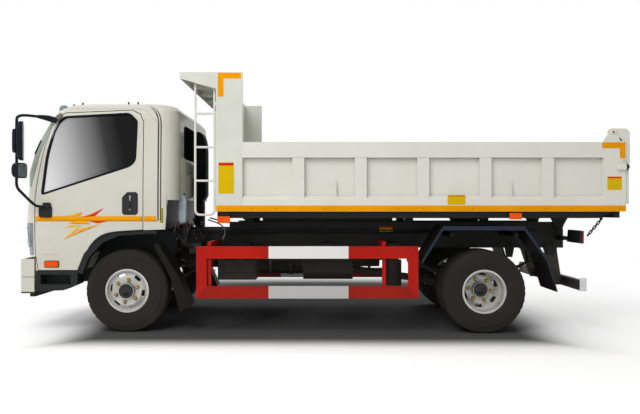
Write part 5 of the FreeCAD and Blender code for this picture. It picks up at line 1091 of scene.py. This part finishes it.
def nose_at(z, side):
    """How far forward the cab's side reaches at a height."""
    x = -3.0
    while True:
        hit = beside("cab_shell", x, z, side)
        if hit is not None and abs(hit.y) > 0.7:
            return x
        x += 0.003


def on_side(spots, side, lift):
    """The run of (X, height) spots as it lies on the cab's side, a little proud of it."""
    hits = [beside("cab_shell", x, z, side) for x, z in spots]
    return [hit + OUT[side] * lift for hit in hits if hit is not None]


COVER_LOW, COVER_PITCH, COVER_ROWS, COVER_FRONT, COVER_BACK = 1.43, 0.046, 15, 0.045, 0.036


def make_pillar_cover(tag, side):
    """The corner cover ahead of a door, greenish grey as a painted reflection of the windscreen's
    glass, with a dark inlay.
    """
    rows, inlay = [], []
    for step in range(COVER_ROWS):
        z = COVER_LOW + COVER_PITCH * step
        nose = nose_at(z, side)
        front = nose - COVER_FRONT * min(1.0, step / 3, (COVER_ROWS + 0.5 - step) / 3)
        back = nose + COVER_BACK
        outer = width_at("cab_shell", back, z, side) + 0.004
        skin = []
        for share in (k / 7 for k in range(8)):
            y = outer - 0.085 * (1 - math.sqrt(1 - (1 - share) ** 2))
            skin.append(Vector((front + (back - front) * share, side * y, z)))
        rows.append(skin + [spot - Vector((-0.006, side * 0.006, 0)) for spot in skin[::-1]])
        if 6 < step < 11:
            inlay.append(skin[2] + OUT[side] * 0.002)
    build("pillar_cover_" + tag, "cab", "pillar", (strip, rows, True, False, True))
    build("pillar_strip_" + tag, "cab", "seal", (tube, inlay, 0.01, 8))


SEAM_BEND = ((-1.7, 2.232), (-1.65, 2.2), (-1.607, 2.145), (-1.588, 2.07), (-1.586, 1.95))
SEAMS = ((-0.014, 0.0075, "cab"), (0.012, 0.0075, "cab"), (-0.001, 0.0045, "seal"),
         (0.024, 0.0035, "seal"))      # shift, radius, finish
PANEL_LOW, PANEL_PITCH, PANEL_ROWS = 1.305, 0.018, 25
PANEL_SIDE, PANEL_STEP, PANEL_SPOTS, PANEL_WAVE = -0.784, 0.014, 113, 0.112


def make_cab_skin():
    """Body seams, gutters, the reflective strip, corner covers and the rear wall's ribs."""
    bend = [tuple(spot.xz) for spot in eased([(x, 0, z) for x, z in SEAM_BEND], 5)]
    bend += [(-1.586, 1.95 - 0.05 * i) for i in range(1, 18)]
    roof = [(-2.6 + 0.98 * k / 23, 2.205 - 0.008 * max(0, k - 19) ** 2) for k in range(24)]
    for tag, side in SIDES:
        for k, (shift, radius, look) in enumerate(SEAMS):
            run = on_side([(x + shift, z) for x, z in bend], side, 0.0015)
            build("body_seam_%d_%s" % (k, tag), "cab", look, (tube, run, radius, 8))
        build("roof_gutter_" + tag, "cab", "cab", (tube, on_side(roof, side, 0.002), 0.0045, 8))
        laid("reflective_strip_" + tag, oblong(-1.566, -1.538, 1.075, 1.222), side, "cab_shell",
             "cab", "slime")
        make_pillar_cover(tag, side)
    rows = []
    for step in range(PANEL_ROWS):
        row = []
        z = PANEL_LOW + PANEL_PITCH * step
        for y in (PANEL_SIDE + PANEL_STEP * k for k in range(PANEL_SPOTS)):
            hit = touch("cab_shell cab_windows", Vector((0, y, z)), FORWARD)
            to_edge = min(step / 3, (PANEL_ROWS - 1 - step) / 3, (0.76 - abs(y)) / 0.05)
            fade = max(0.0, min(1.0, to_edge))
            ridge = 0.5 + 0.5 * math.cos(TURN * y / PANEL_WAVE)
            row.append(hit + REARWARD * (0.004 + 0.01 * min(1.0, fade * 3) + 0.014 * fade * ridge))
        rows.append(row)
    build("rear_wall_panel", "cab", "cab", (strip, rows, False), sharp=60, thick=0.003)


def mirror_back(point):
    """A housing flat behind its glass and hollowed towards its rim."""
    if point.x > 0.35:
        return Vector((0.35, point.y, point.z))
    return Vector((point.x * (1 - 0.25 * point.z ** 2), point.y, point.z))


POST_X, POST_Y, ARM_RADIUS = -2.888, 1.165, 0.0135
ARM_START = (-2.738, 1.05, 2.108)
ARM_RUN = (ARM_START, (-2.828, 1.13, 2.108), (-2.876, 1.158, 2.092), (POST_X, POST_Y, 2.045),
           (POST_X, POST_Y, 1.8), (POST_X, POST_Y, 1.55), (-2.884, POST_Y, 1.425),
           (-2.838, 1.13, 1.35), (-2.773, 1.065, 1.262), (-2.738, 1.03, 1.238),
           (-2.653, 0.992, 1.23))
ARM_NECK = (ARM_START, (-2.668, 1.0, 2.1), (-2.592, 0.957, 2.08))
MIRRORS = (("main", 0.0324, 1.862, 0.186, 0.044, -19), ("wide", 0.0233, 1.5795, 0.0735, 0.058, 5))


def make_mirrors():
    """Main and wide-angle mirrors on their arms."""
    for tag, side in SIDES:
        body = tag + "_door"
        run, neck = ([(x, side * y, z) for x, y, z in spots] for spots in (ARM_RUN, ARM_NECK))
        along = Vector((0.75, -0.62 * side, -0.15)).normalized()
        across = along.cross(UP).normalized()
        lift = across.cross(along)
        rows = []
        for k, spot in enumerate(eased(neck, 5)):
            wide = ARM_RADIUS + 0.0125 * min(1.0, k / 6)
            tall = wide * 1.15
            rows.append([spot + wide * math.cos(angle) * across + tall * math.sin(angle) * lift
                         for angle in (TURN * j / 16 for j in range(16))])
        arms = build("mirror_arms_" + tag, body, "mirror shell",
                     (tube, eased(run), ARM_RADIUS, 14), (strip, rows, True, False, True))
        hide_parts("mirror_" + tag)
        build("mirror_mount_" + tag, body, "plastic",
              (rounded_block, (0.062, 0.013, 0.056), at(-2.688, side * 0.988, 1.187), 8),
              (rounded_block, (0.036, 0.022, 0.03), at(-2.672, side * 0.992, 1.244), 6))
        tilted = at(-2.575, side * 0.957, 2.11) @ Matrix.Rotation(-0.72, 4, "Y")
        build("mirror_foot_" + tag, body, "mirror foot",
              (rounded_block, (0.05, 0.016, 0.022), tilted, 5))
        build("mirror_backing_" + tag, body, "mirror shell",
              (rounded_block, (0.02, 0.045, 0.115), at(POST_X - 0.014, side * 1.155, 1.86), 6))
        for name, shift, z, tall, deep, turn in MIRRORS:
            place = at(POST_X + shift, side * 1.135, z, turn * side)
            build("mirror_%s_%s" % (name, tag), body, "mirror shell",
                  (rounded_block, (deep, 0.088, tall), place, 4.5, 14, mirror_back))
            build("mirror_%s_glass_%s" % (name, tag), body, "mirror",
                  (rounded_block, (0.002, 0.079, tall - 0.013),
                   place @ at(deep * 0.35 + 0.0005, 0, 0), 7, 10))


def channels(wide, heads):
    """A shape for a cushion's block: crowned, with stitched channels."""
    def shape(point):
        if point.z <= 0:
            return point
        dents = sum(0.1 * math.exp(-((point.y * wide / heads - k * 0.075) / 0.01) ** 2)
                    for k in range(-3, 4))
        crown = 0.1 * (1 - point.x ** 2) * (1 - point.y ** 2)
        return Vector((point.x, point.y, point.z * (0.93 - dents) + crown))
    return shape


def make_interior():
    """Padded seats in place of the plain ones."""
    low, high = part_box("seats")
    floor = low.z
    for name, y0, y1, heads in (("driver", -0.78, -0.26, 1), ("crew", -0.16, 0.78, 2)):
        middle, wide = (y0 + y1) / 2, (y1 - y0) / 2
        shape = channels(wide, heads)
        cushion = build("seat_cushion_" + name, "cab", "cloth",
                        (rounded_block, (0.262, wide - 0.004, 0.085),
                         at(low.x + 0.267, middle, floor + 0.102), 5, 26, shape), sharp=80)
        if name == "driver":
            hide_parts("seats")
        lean = at(high.x - 0.105, middle, floor + 0.46, 7.2 - 90, "Y")
        rest = build("seat_back_" + name, "cab", "cloth",
                     (rounded_block, (0.295, wide - 0.006, 0.062), lean, 5, 26, shape), sharp=80)
        for k in range(heads):
            y = middle + (0 if heads == 1 else (k - 0.5) * 0.47)
            place = at(high.x - 0.045, y, high.z - 0.062)
            head = build("head_rest_%s_%d" % (name, k), "cab", "vinyl",
                         (rounded_block, (0.04, 0.125, 0.06), place, 3.5, 14), sharp=80)
        build("seat_box_" + name, "cab", "dash",
              (slab, (low.x + 0.06, y0 + 0.05, floor + 0.001),
               (low.x + 0.44, y1 - 0.05, floor + 0.03)), bevel=0.004)


# ---------------------------------------------------------------- chassis

FRAME_LINES = (                        # radius, finish, points
    (0.008, "hose", ((-1.3, -0.47, 0.99), (-0.9, -0.475, 0.955), (-0.2, -0.472, 0.962),
                     (0.6, -0.475, 0.955), (1.2, -0.47, 0.97))),
    (0.006, "loom", ((-1.35, -0.46, 1.02), (-0.95, -0.478, 0.985), (-0.1, -0.476, 0.99),
                     (0.8, -0.478, 0.985), (2.3, -0.47, 0.98))),
    (0.011, "hose", ((-0.98, -0.62, 0.995), (-1.08, -0.66, 0.9), (-1.2, -0.68, 0.8),
                     (-1.31, -0.62, 0.72), (-1.42, -0.5, 0.7))),
    (0.009, "rust", ((-1.5, -0.66, 0.97), (-1.46, -0.7, 1.06), (-1.4, -0.68, 1.1),
                     (-1.36, -0.64, 1.00), (-1.4, -0.6, 0.88))),
    (0.016, "hose", ((-1.36, -0.3, 1.1), (-1.3, -0.46, 1.02), (-1.22, -0.56, 0.9),
                     (-1.2, -0.58, 0.72), (-1.26, -0.52, 0.6))),
    (0.007, "steel", ((-1.16, -0.6, 1.1), (-1.02, -0.66, 1.05), (-0.97, -0.7, 0.98),
                      (-0.99, -0.72, 0.9))),
    (0.007, "hose", ((-1.12, -0.72, 1.12), (-0.98, -0.78, 1.09), (-0.8, -0.74, 1.06),
                     (-0.6, -0.6, 1.00))),
    (0.014, "hose", ((-1.44, -0.74, 0.95), (-1.36, -0.76, 0.86), (-1.28, -0.72, 0.82),
                     (-1.22, -0.62, 0.86), (-1.18, -0.5, 0.96))),
)


FIRST_RIVET, RIVET_PITCH, RIVETS, RIVET_ROWS = -1.2, 0.14, 27, (0.835, 0.965)
SPRINGS = ((-1.9, 0.545, 0.36), (1.6, 0.62, 0.34))   # axle's X, clamps' top and bottom
CLAMP_RADIUS, CLAMP_HALF = 0.0085, 0.043


def make_chassis_details():
    """Rivets, spring clamps, pipes and looms on the frame."""
    rivets = []
    for x, z, side in ((FIRST_RIVET + RIVET_PITCH * k, z, side) for side in (-1, 1)
                       for k in range(RIVETS) for z in RIVET_ROWS):
        hit = touch("frame_rails", Vector((x, side * 0.9, z)), -OUT[side])
        if hit is not None and abs(hit.y) > 0.4:
            rivets.append((lathe, ((0.009, -0.001), (0.0085, 0.004), (0.004, 0.007)),
                           aim(hit, OUT[side]), 10))
    build("frame_rivets", "chassis", "chassis", *rivets)
    clamps = []
    for y, axle_x, top, bottom in ((side * 0.395, *axle) for side in (-1, 1) for axle in SPRINGS):
        for x in (axle_x - 0.055, axle_x + 0.055):
            for leg in (y - CLAMP_HALF, y + CLAMP_HALF):
                clamps.append((lathe, ((CLAMP_RADIUS, 0), (CLAMP_RADIUS, top - bottom)),
                               aim((x, leg, bottom), UP), 10))
            clamps.append((tube, [(x, y - CLAMP_HALF, top), (x, y, top + 0.004),
                                  (x, y + CLAMP_HALF, top)], CLAMP_RADIUS, 8))
    build("spring_clamps", "chassis", "cast", *clamps)
    for k, (radius, look, points) in enumerate(FRAME_LINES):
        build("frame_line_%d" % k, "chassis", look, (tube, eased(points), radius))


def make_rest_strips():
    """Strips on the subframe that the bed's beams lie on between the pads."""
    for tag, side in SIDES:
        y, strips = side * 0.405, []
        for x0, x1 in ((-0.61, 0.005), (0.045, 0.77)):
            middle = Vector(((x0 + x1) / 2, y, 1.1))
            above = touch("bed_underframe bed_tub", middle, UP)
            below = touch("tipper_subframe frame_rails", middle, -UP)
            strips.append((slab, (x0, y - 0.02, below.z - 0.002), (x1, y + 0.02, above.z - 0.003)))
        build("rest_strips_" + tag, "chassis", "rubber", *strips, bevel=0.002)


def make_reservoir():
    """White coolant reservoir behind the cab, with its cap and bracket."""
    build("reservoir", "chassis", "milky",
          (rounded_block, (0.042, 0.056, 0.13), at(-1.397, -0.7, 1.196), 6, 10),
          (rounded_block, (0.03, 0.04, 0.02), at(-1.397, -0.7, 1.333), 5, 8))
    build("reservoir_cap", "chassis", "plastic",
          (lathe, ((0.022, 0), (0.022, 0.02), (0.018, 0.024)), at(-1.397, -0.7, 1.347), 16))
    build("reservoir_bracket", "chassis", "chassis",
          (slab, (-1.41, -0.64, 0.92), (-1.36, -0.632, 1.3)),
          (slab, (-1.41, -0.632, 0.92), (-1.36, -0.436, 0.932)))


def make_store_details():
    """Straps and cap on the tank, and panels on the stores' side."""
    low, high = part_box("fuel_tank")
    out = 0.003
    run = ((high.y - 0.01, high.z + out), (low.y + 0.05, high.z + out),
           (low.y - out, high.z - 0.05), (low.y - out, low.z + 0.05),
           (low.y + 0.05, low.z - out), (high.y - 0.01, low.z - out))
    straps = []
    for x in (low.x + (high.x - low.x) * share for share in (0.2, 0.5, 0.8)):
        straps.append((strip, [[(x + dx, y, z) for y, z in run] for dx in (-0.02, 0.02)], False))
    build("tank_straps", "chassis", "steel", *straps, thick=out)
    build("tank_cap", "chassis", "plastic",
          (lathe, ((0.045, -0.004), (0.045, 0.018), (0.052, 0.02), (0.052, 0.042),
                   (0.044, 0.048)), aim((low.x + 0.12, low.y + 0.12, high.z - 0.002), UP), 28),
          bevel=0.002)
    panels = []
    for x in (-0.95, -0.78, -0.61):
        hit = beside("air_and_battery fuel_tank", x + 0.07, 0.66, -1)
        if hit is not None:
            panels.append((slab, (x, hit.y - 0.01, 0.58), (x + 0.14, hit.y + 0.002, 0.76)))
    build("tank_panels", "chassis", "store", *panels, bevel=0.008)


FITTINGS, FITTING_SEED = 26, 7


def make_air_dryer():
    """Air dryer, valve block and couplings on the near side behind the cab."""
    build("air_dryer", "chassis", "store",
          (lathe, ((0.066, 0), (0.07, 0.01), (0.07, 0.1), (0.06, 0.125), (0.06, 0.165),
                   (0.048, 0.18)), aim((-1.12, -0.6, 0.62), UP), 28),
          (slab, (-1.19, -0.66, 0.8), (-1.05, -0.54, 0.83)),
          (slab, (-1.13, -0.54, 0.815), (-1.11, -0.436, 0.83)), bevel=0.002)
    build("valve_block", "chassis", "plastic", (slab, (-1.33, -0.74, 0.76), (-1.2, -0.6, 0.86)),
          (slab, (-1.3, -0.6, 0.8), (-1.24, -0.436, 0.83)), bevel=0.006)
    fittings = []
    random.seed(FITTING_SEED)
    for _ in range(FITTINGS):
        x = random.uniform(-1.5, -1.08)
        z = random.uniform(0.55, 1.08)
        y = -random.uniform(0.47, 0.6)
        fittings.append((lathe, ((0.008, 0), (0.008, 0.012), (0.005, 0.016)),
                         aim((x, y, z), (0, -1, random.uniform(-0.4, 0.4))), 6))
    build("pipe_fittings", "chassis", "steel", *fittings)


def make_guard_marks():
    """Mitre welds at the guards' corners, and a bare label on the frame."""
    for name, z0, z1, look in (("", 0.967, 1.012, "sticker"),
                                      ("_head", 1.012, 1.028, "sticker red")):
        laid("frame_label" + name, oblong(0.63, 0.775, z0, z1), -1, "frame_rails tipper_subframe",
             "chassis", look)
    low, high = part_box("side_guards")
    for tag, side in SIDES:
        y = side * (high.y + 0.0004)
        build("guard_mitres_" + tag, "chassis", "red", *(
            (tube, [(x + sx * 0.008, y, z + sz * 0.008), (x + sx * 0.092, y, z + sz * 0.1)],
             0.0028, 6) for x, sx in ((low.x, 1), (high.x, -1))
            for z, sz in ((low.z, 1), (0.848, -1))))


FLAP_RIBS, FIRST_FLAP_RIB, FLAP_RIB_PITCH, FLAP_LOW, FLAP_TALL = 14, 0.6, 0.031, 0.3, 0.36


def make_flap_ribs():
    """Upright ribs on the rear flaps."""
    ribs = []
    for y in (side * (FIRST_FLAP_RIB + FLAP_RIB_PITCH * k) for side in (-1, 1)
              for k in range(FLAP_RIBS)):
        hits = [touch("mudguards", Vector((1.75, y, FLAP_LOW + FLAP_TALL * step / 9)), REARWARD)
                for step in range(10)]
        run = [hit + FORWARD * 0.001 for hit in hits if hit is not None]
        if len(run) > 4:
            ribs.append((tube, run, 0.0055, 6))
    build("flap_ribs", "chassis", "flap", *ribs)


def make_rear():
    """Tail lamp lenses, hook plates, underrun end caps and a blank rear plate."""
    low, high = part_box("tail_lamps")
    middle = (low.z + high.z) / 2
    for tag, side in SIDES:
        for k, (look, y) in enumerate((("tail", 0.62), ("amber", 0.73), ("tail", 0.84))):
            build("tail_lens_%d_%s" % (k, tag), "chassis", look,
                  (lathe, ((0.05, -0.004), (0.05, 0.005), (0.044, 0.009), (0.02, 0.011)),
                   aim(behind("tail_lamps", side * y, middle), REARWARD), 28))
        x, y = behind("tail_lamps", side * 0.95, middle).x, side * 0.95
        build("tail_edge_" + tag, "chassis", "tail",
              (slab, (x - 0.012, y - 0.011, low.z + 0.004),
               (x + 0.004, y + 0.011, high.z - 0.004)), bevel=0.003)
    low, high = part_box("rear_underrun_bar")
    build("underrun_ends", "chassis", "silver", *(
        (slab, (low.x + 0.185, y0, low.z - 0.002), (high.x + 0.001, y1, low.z + 0.13))
        for y0, y1 in ((-1.0095, -1.000), (1.000, 1.0095))), bevel=0.002)
    tow = [(2.37, 0.84), (2.5, 0.84), (2.505, 0.78), (2.47, 0.725), (2.37, 0.74)]
    build("tow_plates", "chassis", "chassis",
          *((side_prism, tow, side, 0.45, 0.462) for side in (-1, 1)),
          *((bolt, (x, side * 0.462, z), OUT[side]) for side in (-1, 1)
            for x, z in ((2.4, 0.82), (2.46, 0.82), (2.4, 0.77))), bevel=0.001)
    build("rear_plate", "chassis", "plate",
          (slab, (high.x + 0.0005, -0.26, low.z + 0.02), (high.x + 0.004, 0.26, low.z + 0.11)),
          bevel=0.001)


def make_steps():
    """Tread strips on the cab steps."""
    build("step_treads", "cab", "store", *(
        (slab, (x, y, 0.4705), (x + 0.03, y + 0.095, 0.4745))
        for y in (-0.955, 0.86) for x in (-2.73 + 0.055 * k for k in range(5))), bevel=0.001)


INTAKE_LEVELS = (      # share of the height, then how far in at the front, the back and the sides
    (0.0, 0.012, 0.04, 0.05), (0.29, 0.012, 0.04, 0.05), (0.34, 0.002, 0.004, 0.01),
    (0.8, 0.002, 0.004, 0.01), (0.88, 0.003, 0.01, 0.014), (0.94, 0.006, 0.022, 0.022),
    (0.98, 0.012, 0.042, 0.036), (1.0, 0.024, 0.07, 0.06))


def make_intake():
    """The air intake's rounded duct with its ribs and bellows."""
    low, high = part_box("air_intake")
    rows = []
    for share, front, back, edge in INTAKE_LEVELS:
        reach_x = (high.x - back - low.x - front) / 2
        reach_y = (high.y - low.y) / 2 - edge - 0.03
        middle = Vector((low.x + front + reach_x, low.y + edge + reach_y,
                         low.z + (high.z - low.z) * share))
        ring = []
        for angle in (TURN * k / 40 for k in range(40)):
            x, y = math.cos(angle), math.sin(angle)
            size = (abs(x) ** 4 + abs(y) ** 4) ** 0.25
            ring.append(middle + Vector((reach_x * x / size, reach_y * y / size, 0)))
        rows.append(ring)
    duct = build("intake_duct", "chassis", "intake", (strip, rows, True, False, True), sharp=60)
    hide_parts("air_intake")
    ribs, y = [], low.y + 0.012
    for k in range(4):
        x, top = low.x + 0.022 + 0.026 * k, high.z - 0.022 - 0.01 * k
        ribs.append((tube, eased([(x, y, low.z + 0.38), (x + 0.004, y, low.z + 0.7),
                                  (x, y + 0.002, top - 0.1), (x - 0.008, y + 0.02, top - 0.03),
                                  (x - 0.012, y + 0.06, top)], 5), 0.005, 8))
    build("intake_ribs", "chassis", "intake", *ribs)
    x, y = (low.x + high.x) / 2 - 0.01, low.y + 0.11
    build("intake_bellows", "chassis", "hose", *(
        (lathe, ((0.05, -0.008), (0.06, -0.003), (0.06, 0.003), (0.05, 0.008)),
         at(x, y, low.z + 0.1 + 0.026 * k), 28, False) for k in range(7)))


for make in (make_camera, make_world, make_lamps, make_floor, make_finishes, finish_nodes,
             make_tyres, make_wheel_fittings, make_bed_marks, make_bed_details, make_windows,
             make_handles, make_stripes, make_cab_lamps, make_arch_trim, make_cab_front,
             make_cab_skin, make_mirrors, make_interior, make_chassis_details, make_rest_strips,
             make_reservoir, make_store_details, make_air_dryer, make_guard_marks, make_flap_ribs,
             make_rear, make_steps, make_intake):
    make()
